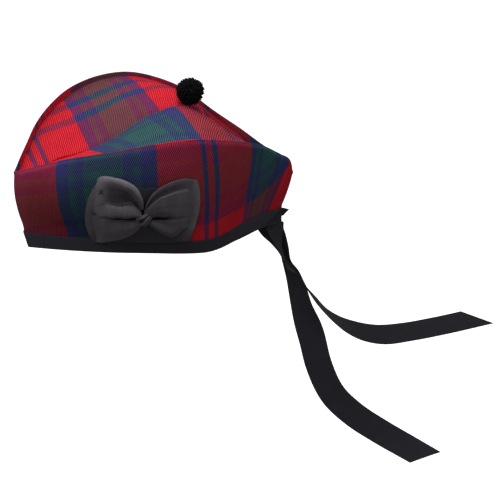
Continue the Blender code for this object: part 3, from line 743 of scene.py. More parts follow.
def ribbed_ribbon(name, colour, roughness, painted_shade_depth):
    """Ribbon whose ribs run across it: half a sine wave for each rib, along the first weave coordinate. The
    painted shade layer's first coordinate says how much of the painted shade a place takes."""
    material = new_material(name, roughness, specular=0.10, sheen=0.02)
    weave, painted_shade = pattern(material, "weave"), pattern(material, "painted_shade")
    rib = half_waves(material, product(material, weave[0], 1 / RIB))
    places = {0: product(material, weave[0], STREAK_ALONG), 1: product(material, weave[1], STREAK_ACROSS)}
    places = new_node(material, "ShaderNodeCombineXYZ", places).outputs[0]
    streak = {"Scale": 1.0, "Detail": 2.0, "Vector": places}
    streak = new_node(material, "ShaderNodeTexNoise", streak).outputs["Fac"]
    streak = calc(material, "MULTIPLY_ADD", streak, STREAK_DEPTH, 1 - STREAK_DEPTH / 2)
    cloudy = product(material, stray(material, RIBBON_DYE, 1), stray(material, RIBBON_FUZZ, 1), streak)
    # Painted shade between the ribs: each rib is painted darker at its edges than along its middle.
    ribs = calc(material, "MULTIPLY_ADD", rib, RIB_MIDDLE, RIB_EDGE)
    # Painted shade: the more of it a place takes, the darker it is painted.
    lit = calc(material, "MULTIPLY_ADD", painted_shade[0], -painted_shade_depth, 1.0)
    colour_and_shade(material, (*colour, 1), product(material, cloudy, ribs, lit))
    emboss(material, rib, RIB_RELIEF, RIB_STRENGTH)
    return material


# Painted light on the binding's front, painted shade behind it, and the most painted shade where a ribbon
# lies face up.
FACE_UP_PAINTED_SHADE, BINDING_PAINTED_LIGHT_REACH = 2.0, 0.35
black_ribbon = ribbed_ribbon("black_ribbon", (0.068, 0.063, 0.0815), 0.62, painted_shade_depth=0.32)


def build_binding():
    """A ring of U sections: down the outside, round the bottom edge and up the inside, and back again behind
    the cloth."""
    girth, half_turn = np.linspace(0, 1, BINDING_ROWS), np.linspace(-np.pi / 2, np.pi / 2, BINDING_STEPS)
    outside, inside = CLEARANCE + BINDING_CLOTH, WALL_THICKNESS + CLEARANCE
    middle, half = (CLEARANCE - inside) / 2, (outside + inside + BINDING_CLOTH) / 2
    deep = CLEARANCE + BINDING_THICKNESS
    # Each row of the section: its share of the binding's height, how far out it is, and how far below.
    rows = [(1, outside - BINDING_ROUNDING, 0)]
    rows += [(share, outside, 0) for share in np.linspace(1, 0, BINDING_STEPS)[1:]]
    rows += [(0, middle - half * np.sin(turned), deep * np.cos(turned)) for turned in half_turn[1:-1]]
    rows += [(share, -inside - BINDING_CLOTH, 0) for share in np.linspace(0, 1, BINDING_STEPS)]
    rows += [(share, -inside, 0) for share in (1, 0.6, 0.2)]
    rows += [(0, -inside, CLEARANCE), (0, CLEARANCE, CLEARANCE)]
    rows += [(share, CLEARANCE, 0) for share in (0.2, 0.6, 1)]
    halves = {}
    for side in (LEFT, RIGHT):
        bound = bound_rise(side, girth)
        lines = [wall_offset(side, girth, bound * share, out) - [0, 0, drop] for share, out, drop in rows]
        halves[side] = np.stack(lines, axis=1)
    tips = (halves[LEFT][[0, -1]] + halves[RIGHT][[0, -1]]) / 2
    sections = np.concatenate([tips[:1], halves[LEFT][1:-1], tips[1:], halves[RIGHT][-2:0:-1]])
    along = run_along(sections[:, BINDING_STEPS // 2])[:, None] * MM
    up = BINDING_ROW_HEIGHT * np.arange(len(rows))
    # Painted light at the binding's front, growing into painted shade behind it.
    binding_painted_shade = grown(np.concatenate([girth[:-1], girth[1:], girth[-2:0:-1]])[:, None], BINDING_PAINTED_LIGHT_REACH)
    layers = {"weave": layer(along, up), "painted_shade": layer(binding_painted_shade, 0 * up)}
    fasten(skin("binding_ribbon", sections, black_ribbon, layers, ring=True), "binding")


build_binding()

# Toorie
# The pompom: lengths of black wool yarn tied in the middle, cut and trimmed to a ball, so that the ends
# of the yarn make its knobbly surface. It is sewn down near the highest point of the crease.
TOORIE_DIAMETER, TOORIE_ALONG, TOORIE_BASE = 0.0247, 0.611, 0.80
YARN_ENDS, YARN_RADIUS, YARN_SIDES, YARN_SEED = 620, 0.00078, 6, 7
# How much wider than tall it is pressed, how far its underside sags, and how deep it sits on the crease.
TOORIE_SPREAD, TOORIE_SAG, TOORIE_FOOT = 1.08, 0.16, 0.0036
# How far the ends are scattered and the strands bent, where a strand begins and ends as shares of the
# radius, and how unevenly the ends are trimmed and the yarn is spun.
YARN_SCATTER, YARN_BEND, YARN_START, YARN_REACH = 0.035, 0.10, 0.45, 0.955
TRIM, SPIN = (-0.10, 0.05), (0.85, 1.2)
# The yarn's thickness from its start to its frayed end.
YARN_TAPER = (0.6, 0.95, 1.1, 1.12, 1.0, 0.45)
WOOL_CLOUDS, WOOL_SHADE = Clouds(900, 4.0, 0.9), 0.95
WOOL_KNOBS, KNOB_RELIEF, KNOB_STRENGTH = Clouds(1500, 3.0, 1.0), 0.0004, 0.7


def tubes(name, paths, radii, material, sides=YARN_SIDES):
    """Many short round strands as one mesh: a ring of points about each point of each path, in the plane
    across the path, and a flat end at both ends. Paths is strands by points by 3, radii strands by points."""
    strands, count = paths.shape[:2]
    ahead = unit(np.gradient(paths, axis=1))
    # A direction that is never near the strand's own.
    helper = np.where(np.abs(ahead[:, :1, 2:]) < 0.8, [0, 0, 1], [1, 0, 0])
    one = unit(np.cross(ahead, helper))
    two = np.cross(ahead, one)
    angle = np.linspace(0, 2 * np.pi, sides, endpoint=False)
    ring = one[:, :, None] * np.cos(angle)[:, None] + two[:, :, None] * np.sin(angle)[:, None]
    points = (paths[:, :, None] + ring * radii[:, :, None, None]).reshape(-1, 3)
    s, i, j = np.meshgrid(np.arange(strands), np.arange(count - 1), np.arange(sides), indexing="ij")
    base, k = (s * count + i) * sides, (j + 1) % sides
    quads = np.stack([base + j, base + k, base + sides + k, base + sides + j], -1).reshape(-1, 4)
    first = (np.arange(strands) * count * sides)[:, None] + np.arange(sides)[::-1]
    last = ((np.arange(strands) + 1) * count * sides - sides)[:, None] + np.arange(sides)
    return new_piece(name, points.tolist(), quads.tolist() + first.tolist() + last.tolist(), material)


def cut_wool():
    """Matt black wool with a fine uneven surface."""
    material = new_material("black_wool", 0.95, specular=0.10, sheen=0.01)
    colour_and_shade(material, (0.008, 0.0075, 0.010, 1), stray(material, WOOL_CLOUDS, WOOL_SHADE))
    emboss(material, noise(material, WOOL_KNOBS), KNOB_RELIEF, KNOB_STRENGTH)
    return material


black_wool = cut_wool()


def build_toorie():
    """Strands from near the ball's middle to its surface, spread evenly by the golden angle and bent. The
    ends are trimmed unevenly, and the underside sags and is pressed flat on the crease."""
    draw = np.random.default_rng(YARN_SEED)
    radius = TOORIE_DIAMETER / 2
    foot = radius * np.sqrt(1 - TOORIE_BASE**2) / RIM_LENGTH
    seat = crease_height(TOORIE_ALONG + np.linspace(-foot, foot, 9)).max() + 2 * CLEARANCE
    middle = np.array([RIM_START + RIM_LENGTH * TOORIE_ALONG, 0, seat + TOORIE_BASE * radius])
    number = np.arange(YARN_ENDS) + 0.5
    height = 1 - 2 * number / YARN_ENDS
    turned = number * np.pi * (3 - np.sqrt(5))
    level = np.sqrt(1 - height**2)
    ends = np.stack([level * np.cos(turned), level * np.sin(turned), height], -1)
    ends = unit(ends + draw.normal(0, YARN_SCATTER, ends.shape))
    bend = draw.normal(0, YARN_BEND, ends.shape)
    share = np.linspace(YARN_START, 1, len(YARN_TAPER))[None, :, None]
    reach = radius * YARN_REACH * (1 + draw.uniform(*TRIM, (YARN_ENDS, 1, 1))) * share
    paths = reach * (ends[:, None] + bend[:, None] * (1 - share) * share * 2)
    paths[..., :2] *= TOORIE_SPREAD
    paths[..., 2] *= 1 + TOORIE_SAG * (np.minimum(paths[..., 2], 0) / radius) ** 2
    paths[..., 2] = np.maximum(paths[..., 2], -TOORIE_BASE * radius - TOORIE_FOOT)
    radii = YARN_RADIUS * np.array([YARN_TAPER]) * draw.uniform(*SPIN, (YARN_ENDS, 1))
    fasten(tubes("toorie_yarn", middle + paths, radii, black_wool), "toorie")


build_toorie()

# Cockade
# A bow of charcoal ribbon on the left wall: a wide length of ribbon behind, two loops that are gathered into
# pleats at the middle, and a small twisted knot over them. Cross stitches hold the ribbon behind.
COCKADE_GIRTH, COCKADE_RISE = 0.370, 0.515
COCKADE_CLOTH, LOOP_POINTS = 0.0007, 110
# The photograph's width and height in pixels, and how many steps lay a drawn place on the wall.
PHOTOGRAPH, NEWTON_STEPS = 500, 6
# The lines of cloth of each loop, drawn over the photograph. Each goes from the knot to the loop's
# outer end, and the lines go from its upper edge down. A place is in pixels across and down the photograph's
# 500 x 500 frame, with how many millimetres the cloth lies out from the wall there, before the loop's
# fullness.
BOW_LOOPS = {
    "front": {
        "upper edge": [
            (143.5, 208, 5), (142, 198, 5.5), (136, 187.5, 4.5), (125, 181, 3.4),
            (112, 177.5, 2.6), (103, 176.6, 2.0), (98, 178, 0.3),
        ],
        "upper crest": [
            (142.5, 209.5, 6), (140.5, 201, 7.5), (134, 192, 7), (123, 186, 5.6),
            (111, 182.5, 4.4), (102, 182.5, 3.2), (96, 185, 0.3),
        ],
        "hollow above": [
            (140.5, 209.5, 4), (134.5, 202.5, 2.8), (128, 196.5, 1.8), (119, 192, 1.6),
            (110, 191.5, 1.8), (102, 192.5, 3), (94.5, 194, 0.3),
        ],
        "hollow below": [
            (140, 210.5, 4), (133.5, 205, 2.4), (126, 204, 1.6), (117, 203.8, 1.6),
            (108.5, 202, 2.4), (101.5, 201.5, 3.4), (93.5, 202, 0.3),
        ],
        "ridge's top": [
            (140.5, 211.5, 6), (133.5, 206.8, 7), (126, 206.8, 7.2), (118, 207.8, 6.6),
            (109, 207, 5.4), (100.5, 208, 3.4), (92.5, 209, 0.3),
        ],
        "ridge's foot": [
            (141.5, 215.8, 7), (134.5, 215.6, 8.8), (126, 216.2, 9.2), (117, 216.2, 8.2),
            (108, 215.8, 6.2), (100, 215.5, 3.6), (92, 216, 0.3),
        ],
        "crease": [
            (141, 217.2, 3.5), (134.5, 218, 1.9), (126, 218.4, 1.8), (117, 218.4, 2.2),
            (108, 218.3, 3.4), (100, 218.5, 3.2), (92, 219, 0.3),
        ],
        "under the crease": [
            (141, 219.5, 5), (134.5, 220.8, 5.2), (126, 221.2, 5.2), (117, 221.4, 4.8),
            (108, 221.6, 4.4), (100, 222, 3.3), (92, 222.5, 0.3),
        ],
        "belly": [
            (141.5, 222.5, 5.8), (135.5, 226.5, 7.4), (127.5, 230.5, 7.6), (118, 232.5, 7),
            (108, 233, 5.6), (100, 233, 3.6), (92.5, 232, 0.3),
        ],
        "lower edge": [
            (142.5, 225, 4), (137.5, 230.5, 4.2), (129.5, 236, 3.85), (119.5, 239.5, 3.85),
            (108, 241.5, 3.85), (100, 242.5, 3.85), (94, 242, 0.45),
        ],
    },
    "back": {
        "upper edge": [
            (144.5, 210.5, 5), (148, 201.5, 4.2), (153, 194, 3.4), (162, 187, 2.8),
            (173, 182, 2.4), (183, 179.2, 2.0), (189.5, 179.2, 1.6), (195, 180, 0.4),
        ],
        "upper layer": [
            (144.8, 211.5, 4.6), (150, 205.3, 4), (156, 199.8, 3.6), (163, 195.4, 3.2),
            (173, 191, 2.8), (183, 188.5, 2.4), (189.5, 188, 1.8), (193, 189, 0.3),
        ],
        "lobe's edge": [
            (144.5, 212.6, 7), (150.5, 206.8, 8.2), (157, 201.2, 8.2), (164, 197.6, 7.4),
            (174, 194.4, 6.2), (183, 192.6, 4.8), (189.5, 192, 2.8), (193.5, 193, 0.3),
        ],
        "upper belly": [
            (146, 214.3, 7), (152, 211, 7.6), (158, 208, 7.8), (165, 206, 7.8),
            (174, 205, 7.2), (183, 204.5, 6), (190, 204.5, 3.4), (194, 205, 0.3),
        ],
        "above the crease": [
            (147, 216.2, 6.5), (153, 216, 7), (159, 215.6, 7.2), (166, 215.4, 7.2),
            (174, 215.5, 6.8), (182.5, 215, 5.6), (189, 214, 3.2), (193.5, 214, 0.3),
        ],
        "crease": [
            (147.5, 217.6, 3.8), (153, 217.8, 2.4), (159, 218, 2.4), (166, 218.4, 4),
            (174, 218.8, 5.4), (182, 218, 5.2), (188.5, 217, 3.2), (193, 217, 0.3),
        ],
        "under the crease": [
            (148, 219.4, 5.4), (153.5, 220.6, 5.8), (159.5, 221.2, 6), (166, 221.8, 6.2),
            (174, 222, 6.2), (181.5, 220.6, 5.4), (188, 219.5, 3.2), (192.5, 219.5, 0.3),
        ],
        "belly": [
            (148, 221.8, 5.8), (153.5, 225, 7.6), (160, 229.2, 8.2), (167, 232.2, 8.2),
            (174.5, 232, 7.4), (181, 228, 5.8), (186.5, 224, 3.4), (191, 223, 0.3),
        ],
        "lower edge": [
            (147.5, 223.8, 4.4), (152.5, 227.6, 4.4), (159, 231.8, 4.4), (167, 236, 4.4),
            (173.5, 237.2, 4), (180, 232.5, 3.85), (185.5, 227.5, 3.85), (189.5, 226.5, 0.3),
        ],
    },
}
# How many times further out than drawn the loops lie, and the bow's width as a share of the drawn one.
LOOP_FULLNESS, DRAWN_WIDTH = 1.3, 0.9934
# The ribbon behind, from its lower edge up: the pixels across and down of both ends of each level, how far
# out they were drawn, and how far out the level lies.
Behind = namedtuple("Behind", "share front front_down back back_down drawn out")
BACKING = [
    Behind(0.00, 93.0, 243.5, 190.0, 241.5, 3.2, 2.9),
    Behind(0.12, 88.5, 236.0, 193.5, 233.0, 3.2, 2.2),
    Behind(0.28, 85.3, 226.0, 197.0, 222.0, 1.6, 1.0),
    Behind(0.46, 84.6, 213.0, 200.0, 210.0, 1.6, 0.8),
    Behind(0.66, 87.7, 199.0, 200.8, 198.0, 1.6, 0.8),
    Behind(0.80, 92.0, 190.0, 200.5, 190.0, 1.6, 0.8),
    Behind(0.90, 95.5, 184.0, 199.5, 185.0, 1.6, 0.8),
    Behind(1.00, 99.5, 177.3, 197.5, 180.5, 1.6, 0.8),
]
# The same levels laid on the wall, in millimetres from the bow's middle.
Laid = namedtuple("Laid", "share front front_up back back_up out")
# How far its lower edge dips, how far it bows out behind the knot, where and over what width, and how deep
# and how long its ripples are, along it and up it.
BACKING_DIP, KNOT_BULGE, KNOT_PLACE, KNOT_REACH = 9.5, 1.4, 2.0, 2.5
BACKING_RIPPLE, RIPPLE_ALONG, RIPPLE_UP = 0.15, 6, 9
BACKING_ROWS, BACKING_COLUMNS = 60, 40
# Its shares at both sides that lie beside the loops; everywhere else the loops' shadow is painted on it.
SIDE_REACH, SIDE_GROWTH = 0.12, 0.25
# Painted shade: how much darker the deepest fold is painted, and how much of that painted shade the whole of
# each loop takes, the back loop being painted darker all over.
PAINTED_FOLD_SHADE, LOOP_SHADE = 0.64, {"front": 0.0, "back": 0.42}
# A hollow so many millimetres deep takes all of the fold's painted shade, up to this share of it, and near
# the loop's edges less.
FULL_HOLLOW, MOST_SHADE, EDGE_SHARE = 9.0, 0.85, 0.12
# The fine gathers that fan out from the knot and the two waves whose product makes the dents: how far each
# turns, in radians, around the loop and outward from the knot.
Ripple = namedtuple("Ripple", "share around outward start")
GATHERS = [Ripple(1.0, 37, 2, 0), Ripple(0.7, 61, -3, 1), Ripple(0.5, 97, 0, 4)]
DENTS = [Ripple(1.0, 17, 9, 0), Ripple(1.0, -8, 15, 2)]
GATHER_DEPTH, GATHER_FADE, DENT_DEPTH = 0.42, 2.2, 0.75
# The knot's strands, drawn over the photograph in the same way.
KNOT_STRANDS = [
    [(136.8, 222.5, 7), (137.8, 218.6, 9), (142.5, 217.3, 10.5), (147.5, 214, 9.5)],
    [(137.8, 224.6, 7), (142.5, 224.2, 9.5), (146, 220.2, 10.5), (149.8, 215.6, 9)],
    [(144.6, 226, 7), (147.4, 222.6, 9), (149, 219.6, 9.5), (151.5, 217.4, 8)],
]
# The strands' radius, their sizes, how thin their ends are, and how much of the half wave is cut off there.
STRAND_RADIUS, STRAND_SIZES, STRAND_THIN, STRAND_END = 0.0017, (1.0, 0.95, 0.8), 0.55, 0.25
STRAND_POINTS, STRAND_SIDES = 24, 16
# The middles of the cross stitches, drawn in the same way, how much further out than drawn each lies, the
# half length and half height of their arms, and their thread.
TACKS, TACK_LIFTS = [(101, 191, 3), (92.7, 213.3, 3)], (1.4, 0)
TACK_ALONG, TACK_UP, TACK_ARCH, TACK_RADIUS, TACK_POINTS = 1.6, 2.0, 0.5, 0.00045, 9
charcoal_ribbon = ribbed_ribbon("charcoal_ribbon", (0.186, 0.168, 0.192), 0.6, PAINTED_FOLD_SHADE)


def on_left_wall(places):
    """Places in millimetres from the bow's middle laid on the left wall, along it, up it and out from it."""
    along, up, out = np.moveaxis(places / MM, -1, 0)
    level_run = run_along(wall_face(LEFT, np.linspace(0, 1, 200), COCKADE_RISE))[-1]
    rib_run = run_along(wall_face(LEFT, COCKADE_GIRTH, np.linspace(0, 1, 60)))[-1]
    return wall_offset(LEFT, COCKADE_GIRTH + along / level_run, COCKADE_RISE + up / rib_run, out)


def in_photograph(points):
    """Where the camera sees points, in pixels across and down the photograph's frame."""
    right, up, near = np.moveaxis((points - CAMERA_PLACE) @ camera_axes.T, -1, 0)
    scale = PHOTOGRAPH * CAMERA_LENS / SENSOR_WIDTH / -near
    return np.stack([PHOTOGRAPH / 2 + scale * right, PHOTOGRAPH / 2 - scale * up], -1)


def drawn(places):
    """Places drawn over the photograph, turned into millimetres on the left wall: a few steps of Newton's
    method, with slopes measured over one millimetre."""
    places = np.array(places, float)
    wanted, out, spot = places[..., :2], places[..., 2:], 0 * places[..., :2]
    for _ in range(NEWTON_STEPS):
        seen = in_photograph(on_left_wall(np.concatenate([spot, out], -1)))
        moved = [in_photograph(on_left_wall(np.concatenate([spot + step, out], -1))) for step in np.eye(2)]
        slopes = np.stack(moved, -1) - seen[..., None]
        spot = spot + np.linalg.solve(slopes, (wanted - seen)[..., None])[..., 0]
    return np.concatenate([spot * [DRAWN_WIDTH, 1], out], -1)


def ribbon(name, grid, thickness, material, painted_shade):
    """A ribbon about a grid of points on its middle surface: half its thickness to each side along the
    normal, and a rounded edge. The weave is the length run along the grid and across it."""
    lengthwise, crosswise = np.gradient(grid, axis=0), np.gradient(grid, axis=1)
    normal = unit(np.cross(lengthwise, crosswise)) * thickness / 2
    out = unit(crosswise) * thickness / 2
    sides = [grid + normal, (grid + out)[:, -1:], (grid - normal)[:, ::-1], (grid - out)[:, :1]]
    along = run_along(grid[:, grid.shape[1] // 2])[:, None] * MM
    over = run_along(grid[len(grid) // 2])[None, :] * MM
    over, painted_shade = [np.concatenate([both_faces(part, 1), part[:, :1]], axis=1) for part in (over, painted_shade)]
    layers = {"weave": layer(along, over), "painted_shade": layer(painted_shade, 0 * painted_shade)}
    return skin(name, np.concatenate(sides, axis=1), material, layers, sharp=60)


def through(points, count):
    """A smooth line of so many places through points along their first axis: between each two the cubic
    whose slopes there are half the step from the point before to the point after."""
    points = np.asarray(points, float)
    slopes = np.gradient(points, axis=0)
    at = np.linspace(0, len(points) - 1, count)
    row = np.minimum(at.astype(int), len(points) - 2)
    u = (at - row).reshape(-1, *[1] * (points.ndim - 1))
    hold = points[row] * (1 + 2 * u) * (1 - u) ** 2 + points[row + 1] * u**2 * (3 - 2 * u)
    return hold + slopes[row] * u * (1 - u) ** 2 + slopes[row + 1] * u**2 * (u - 1)


def ripples(table, around, outward):
    """The slanting sine waves of a table, each times its share."""
    return [wave.share * np.sin(wave.around * around + wave.outward * outward + wave.start) for wave in table]


def gathers(around, outward):
    """Sum of the gathers' waves, which fades with e to the minus distance from the knot."""
    return GATHER_DEPTH * sum(ripples(GATHERS, around, outward)) * np.exp(-GATHER_FADE * outward)


def dents(around, outward):
    """Soft dents all over the loop: the product of two waves, which fades towards the loop's four edges."""
    first, second = ripples(DENTS, around, outward)
    return DENT_DEPTH * first * second * np.sin(np.pi * around) * np.sin(np.pi * outward)


def hollows(out, around):
    """How much of the fold's painted shade each place takes: how far it lies below the highest one between
    the loop's two edges, fading to nothing at both edges."""
    below = grown(out.max(axis=1, keepdims=True) - out, FULL_HOLLOW)
    return np.minimum(below, MOST_SHADE) * grown(np.minimum(around, 1 - around), EDGE_SHARE)


def build_backing():
    """The ribbon behind: straight lines between the two ends of its table's levels, bowed out and dipped."""
    share = np.linspace(0, 1, BACKING_ROWS)[:, None]
    across = np.linspace(0, 1, BACKING_COLUMNS)[None, :]
    levels = []
    for row in BACKING:
        both = drawn([(row.front, row.front_down, row.drawn), (row.back, row.back_down, row.drawn)])
        levels.append(Laid(row.share, *both[0, :2], *both[1, :2], row.out))
    ends = {column: read(levels, column, across) for column in Laid._fields[1:]}
    along = ends["front"] + (ends["back"] - ends["front"]) * share
    up = ends["front_up"] + (ends["back_up"] - ends["front_up"]) * share
    up = up - BACKING_DIP * np.sin(np.pi * share) * across**6
    out = ends["out"] + KNOT_BULGE * bell(along - KNOT_PLACE, KNOT_REACH) * across**2
    out = out + BACKING_RIPPLE * np.sin(along / RIPPLE_ALONG + up / RIPPLE_UP)
    # Painted shadow of the loops on the ribbon behind, all but its two ends.
    beside = bell(np.minimum(share, 1 - share), SIDE_REACH) * grown(across, SIDE_GROWTH)
    places = on_left_wall(np.stack([along, up, out], -1))
    backing = ribbon("bow_backing", places, COCKADE_CLOTH, charcoal_ribbon, 1 - beside)
    fasten(backing, "cockade_backing")


def build_loop(name, lines):
    """A smooth surface through a loop's lines of cloth, with fine gathers near the knot and soft dents."""
    lines = drawn(np.array(list(lines.values())) * [1, 1, LOOP_FULLNESS])
    net = through(np.swapaxes(through(lines, LOOP_POINTS), 0, 1), LOOP_POINTS)
    outward = np.linspace(0, 1, LOOP_POINTS)[:, None]
    around = outward.T
    net[..., 2] += gathers(around, outward) + dents(around, outward)
    # Painted shade in the loop's hollows, and over the whole back loop.
    shade = hollows(net[..., 2], around) + LOOP_SHADE[name]
    loop = ribbon("bow_loop_" + name, on_left_wall(net), COCKADE_CLOTH, charcoal_ribbon, shade)
    fasten(loop, "cockade_loop_" + name)


def build_knot():
    """Three short strands of ribbon, each thinner at its ends by half a sine wave."""
    strands = np.stack([through(strand, STRAND_POINTS) for strand in drawn(KNOT_STRANDS)])
    swell = np.sin(np.linspace(STRAND_END, np.pi - STRAND_END, STRAND_POINTS))[None, :]
    radii = STRAND_RADIUS * (STRAND_THIN + (1 - STRAND_THIN) * swell) * np.array(STRAND_SIZES)[:, None]
    knot = tubes("bow_knot", on_left_wall(strands), radii, charcoal_ribbon, STRAND_SIDES)
    fasten(knot, "cockade_knot")


def build_tacks():
    """Two crossed threads for each cross stitch, arched as a parabola."""
    way = np.linspace(-1, 1, TACK_POINTS)
    threads = []
    for (along, up, out), lift in zip(drawn(TACKS), TACK_LIFTS):
        for lean in (-1, 1):
            arch = out + lift + TACK_ARCH * (1 - way**2)
            threads.append(np.stack([along + TACK_ALONG * way, up + TACK_UP * lean * way, arch], -1))
    threads = np.stack(threads)
    radii = np.full(threads.shape[:2], TACK_RADIUS)
    tacks = tubes("bow_tacks", on_left_wall(threads), radii, black_ribbon)
    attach(tacks, "root")


build_backing()
for loop_name, loop_lines in BOW_LOOPS.items():
    build_loop(loop_name, loop_lines)
build_knot()
build_tacks()

# Tails
# The two ends of the binding ribbon, left long. They are turned down over the binding's outside near the
# back seam, cross, and hang away from the cap. Each end is cut at 45 degrees.
TAIL_WIDTH, TAIL_CLOTH, TAIL_ROOT_GIRTH = 0.026, 0.0006, 0.905
LONG_TAIL, SHORT_TAIL = 0.3745, 0.357
# The slanting fold at the binding: how steep it is, where it starts and where it stops, as shares of the
# ribbon's width and of the binding's height, and how near the binding's lower edge the turned cloth ends.
FOLD_SLOPE, FOLD_START, FOLD_TOP, FOLD_ROWS, FOLD_END = 1.2, 0.1, 0.94, 14, 0.05
TAIL_ROWS, TAIL_COLUMNS = 260, 25
# A tail's route from its root, as shares of its length, and its width's turn about it in degrees.
Tail = namedtuple("Tail", "along back side drop turn")
LONG_TAIL_ROUTE = [
    Tail(0.000, 0.010, 0.000, 0.000, 30),
    Tail(0.045, 0.019, -0.003, 0.036, 48),
    Tail(0.088, 0.029, -0.006, 0.076, 70),
    Tail(0.123, 0.040, 0.001, 0.109, 77),
    Tail(0.151, 0.057, 0.005, 0.135, 97),
    Tail(0.194, 0.0735, 0.004, 0.175, 110),
    Tail(0.264, 0.090, -0.001, 0.239, 122),
    Tail(0.377, 0.122, -0.011, 0.346, 163),
    Tail(0.460, 0.142, -0.018, 0.426, 166),
    Tail(0.569, 0.186, -0.026, 0.525, 174),
    Tail(0.666, 0.249, -0.031, 0.598, 182),
    Tail(0.769, 0.327, -0.035, 0.666, 186),
    Tail(0.887, 0.419, -0.039, 0.739, 186),
    Tail(1.000, 0.508, -0.043, 0.809, 182),
]
SHORT_TAIL_ROUTE = [
    Tail(0.000, 0.000, 0.000, 0.000, -34),
    Tail(0.062, 0.026, -0.0032, 0.0505, -46),
    Tail(0.103, 0.044, -0.0062, 0.0865, -68),
    Tail(0.140, 0.0585, -0.0082, 0.1205, -84),
    Tail(0.181, 0.0815, -0.0072, 0.1565, -82),
    Tail(0.224, 0.1055, -0.0042, 0.1935, -90),
    Tail(0.303, 0.148, 0.0018, 0.2595, -98),
    Tail(0.360, 0.183, 0.0068, 0.3045, -100),
    Tail(0.412, 0.217, 0.0108, 0.3455, -99),
    Tail(0.473, 0.262, 0.0158, 0.3865, -104),
    Tail(0.539, 0.317, 0.0208, 0.4215, -111),
    Tail(0.619, 0.391, 0.0268, 0.4515, -113),
    Tail(0.713, 0.483, 0.0348, 0.4655, -108),
    Tail(0.825, 0.595, 0.0438, 0.4725, -107),
    Tail(1.000, 0.769, 0.0578, 0.4765, -107),
]
# How much painted shade each tail takes, from its fold at the binding to its end.
LONG_SHADES, SHORT_SHADES = (1.9, 1.7, 1.0, 1.0, 0.9, 0.1), (1.6, 1.8, 2.2, 2.3, 2.2)


def build_tail(name, node, side, route, length, end_slant, shades):
    """The ribbon's width is turned about its route as the table says. It begins on the binding's outside,
    along the slanting fold where the ribbon turns down, and ends on a slant of 45 degrees, whose sign says
    which edge is the longer. Its shades stand for places spread evenly along it."""
    girth = np.array([TAIL_ROOT_GIRTH, 1.0])
    outside = CLEARANCE + BINDING_CLOTH + TAIL_CLOTH
    low = wall_offset(side, girth, 0, outside) - [0, 0, CLEARANCE]
    root, root_fall = low.mean(axis=0), (low[0, 2] - low[1, 2]) / TAIL_WIDTH

    def middle(at):
        way = [read(route, "back", at), read(route, "side", at), -read(route, "drop", at)]
        return root + length * np.stack(way, axis=-1)

    def directions(at):
        ahead = unit(middle(at + 1e-3) - middle(at - 1e-3))
        level_way = unit(np.cross(ahead, [0, 1, 0]))
        turn = np.radians(read(route, "turn", at))[..., None]
        return ahead, level_way * np.cos(turn) + np.cross(level_way, ahead) * np.sin(turn)

    ahead, width = directions(np.zeros(1))
    root_slant = (width[0, 2] + root_fall) / -ahead[0, 2]
    across = np.linspace(-1, 1, TAIL_COLUMNS)[None, :]
    start = across * TAIL_WIDTH / 2 * root_slant / length
    end = 1 - (1 - across * end_slant) * TAIL_WIDTH / 2 / length
    share = start + (end - start) * np.linspace(0, 1, TAIL_ROWS)[:, None]
    hanging = middle(share) + directions(share)[1] * (across * TAIL_WIDTH / 2)[..., None]
    place = (across + 1) / 2
    over = TAIL_ROOT_GIRTH + (1 - TAIL_ROOT_GIRTH) * place
    fold = bound_rise(side, over) * np.clip(FOLD_SLOPE * place - FOLD_START, 0, FOLD_TOP)
    down = np.linspace(1, FOLD_END, FOLD_ROWS)[:, None]
    # The turned cloth leaves the binding by as much as the route's first row says, as a parabola.
    first = length * np.array([route[0].back, route[0].side, -route[0].drop])
    turned = wall_offset(side, over, fold * down, outside) + first * ((1 - down) ** 2)[..., None]
    cloth = np.concatenate([turned, hanging])
    shade = np.interp(np.linspace(0, 1, len(cloth)), np.linspace(0, 1, len(shades)), shades)
    tail = ribbon(name, cloth, TAIL_CLOTH, black_ribbon, shade[:, None] + 0 * across)
    fasten(tail, node)


build_tail("tail_ribbon_long", "ribbon_tail_long", LEFT, LONG_TAIL_ROUTE, LONG_TAIL, -1, LONG_SHADES)
build_tail("tail_ribbon_short", "ribbon_tail_short", RIGHT, SHORT_TAIL_ROUTE, SHORT_TAIL, 1, SHORT_SHADES)

# Back tab
# The small pointed end of the binding ribbon, folded double and left standing out over the back seam. Its
# root is sunk a little in the binding's cloth.
TAB_LENGTH, TAB_DROP, TAB_CUT, TAB_HEIGHT = 0.0068, 0.0028, 0.0030, 0.0080
TAB_CLOTH, TAB_SUNK, TAB_ROWS, TAB_COLUMNS = 0.0010, 0.0003, 14, 9


def build_tab():
    """Straight lines from the binding's upper part to the tip, whose lower edge is cut back and level."""
    share = np.linspace(0, 1, TAB_ROWS)[:, None, None]
    across = np.linspace(-1, 1, TAB_COLUMNS)[None, :]
    rise = bound_rise(LEFT, 1.0) * (1 + (across - 1) * TAB_HEIGHT / BINDING_HEIGHT / 2)
    seat = wall_offset(LEFT, 1.0, rise, CLEARANCE + BINDING_CLOTH - TAB_SUNK)
    lower = ((1 - across) / 2)[..., None]
    tip = seat * [1, 0, 1] + np.array([TAB_LENGTH, 0, -TAB_DROP]) - lower * [TAB_CUT, 0, -TAB_DROP]
    cloth = seat + (tip - seat) * share
    # The tab takes as much painted shade as a ribbon that lies face up.
    tab = ribbon("tab_ribbon", cloth, TAB_CLOTH, black_ribbon, np.full(cloth.shape[:2], FACE_UP_PAINTED_SHADE))
    fasten(tab, "back_tab")


build_tab()

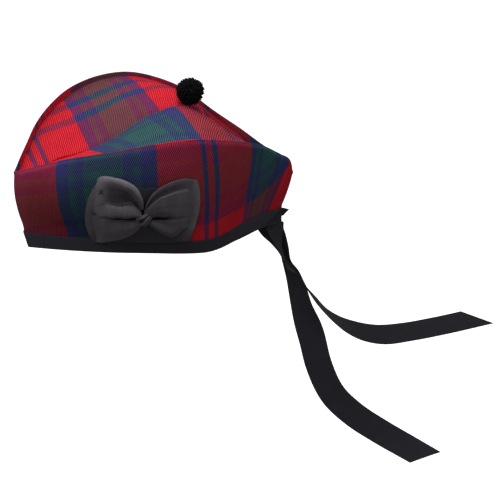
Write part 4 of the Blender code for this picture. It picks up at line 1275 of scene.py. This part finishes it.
# Floor and light
# A floor that glows white below the tails, a wide soft light overhead, and three more from the camera's
# side, from the tails' end and from the far front.
FLOOR_DROP, FLOOR_REACH, FLOOR_BACK = 0.02, 6, 8
FLOOR_GREY, FLOOR_GLOW, WORLD_LIGHT = 0.60, 1.0, 0.12
scene.view_settings.view_transform = "Standard"
floor_level = cad_box[0][2] - FLOOR_DROP
sides = [(-FLOOR_REACH, -FLOOR_REACH), (FLOOR_REACH, -FLOOR_REACH)]
sides += [(FLOOR_REACH, FLOOR_BACK), (-FLOOR_REACH, FLOOR_BACK)]
floor_paint = new_material("floor_paint", 0.9)
floor = new_piece("floor", [(x, y, floor_level) for x, y in sides], [(0, 1, 2, 3)], floor_paint)
floor_shader = floor_paint.node_tree.nodes["Principled BSDF"]
floor_shader.inputs["Base Color"].default_value = (FLOOR_GREY, FLOOR_GREY, FLOOR_GREY, 1)
floor_shader.inputs["Emission Color"].default_value = (1, 1, 1, 1)
floor_shader.inputs["Emission Strength"].default_value = FLOOR_GLOW
floor.visible_diffuse = floor.visible_glossy = False


def soft_light(name, place, aim, size, power):
    """A square area light at a place, facing another."""
    light = bpy.data.lights.new(name, "AREA")
    light.shape, light.size, light.energy = "SQUARE", size, power
    lamp = bpy.data.objects.new(name, light)
    scene.collection.objects.link(lamp)
    away = unit(np.subtract(place, aim))
    side = unit(np.cross([0, 1, 0.01], away))
    stand(lamp, side, np.cross(away, side), away, place)


soft_light("overhead", (-0.04, 0.22, 1.05), (-0.01, 0.0, 0.05), 0.9, 9.6)
soft_light("front", (-0.9, -1.4, 1.7), (0.0, 0.0, 0.05), 1.0, 15)
soft_light("side", (1.9, -0.9, 0.9), (0.05, 0.0, 0.05), 1.2, 6)
soft_light("behind", (-1.5, 0.9, 0.9), (-0.05, 0.0, 0.08), 1.0, 6)
scene.world = bpy.data.worlds.new("studio")
scene.world.use_nodes = True
background = scene.world.node_tree.nodes["Background"]
background.inputs[0].default_value = (1, 1, 1, 1)
background.inputs[1].default_value = WORLD_LIGHT
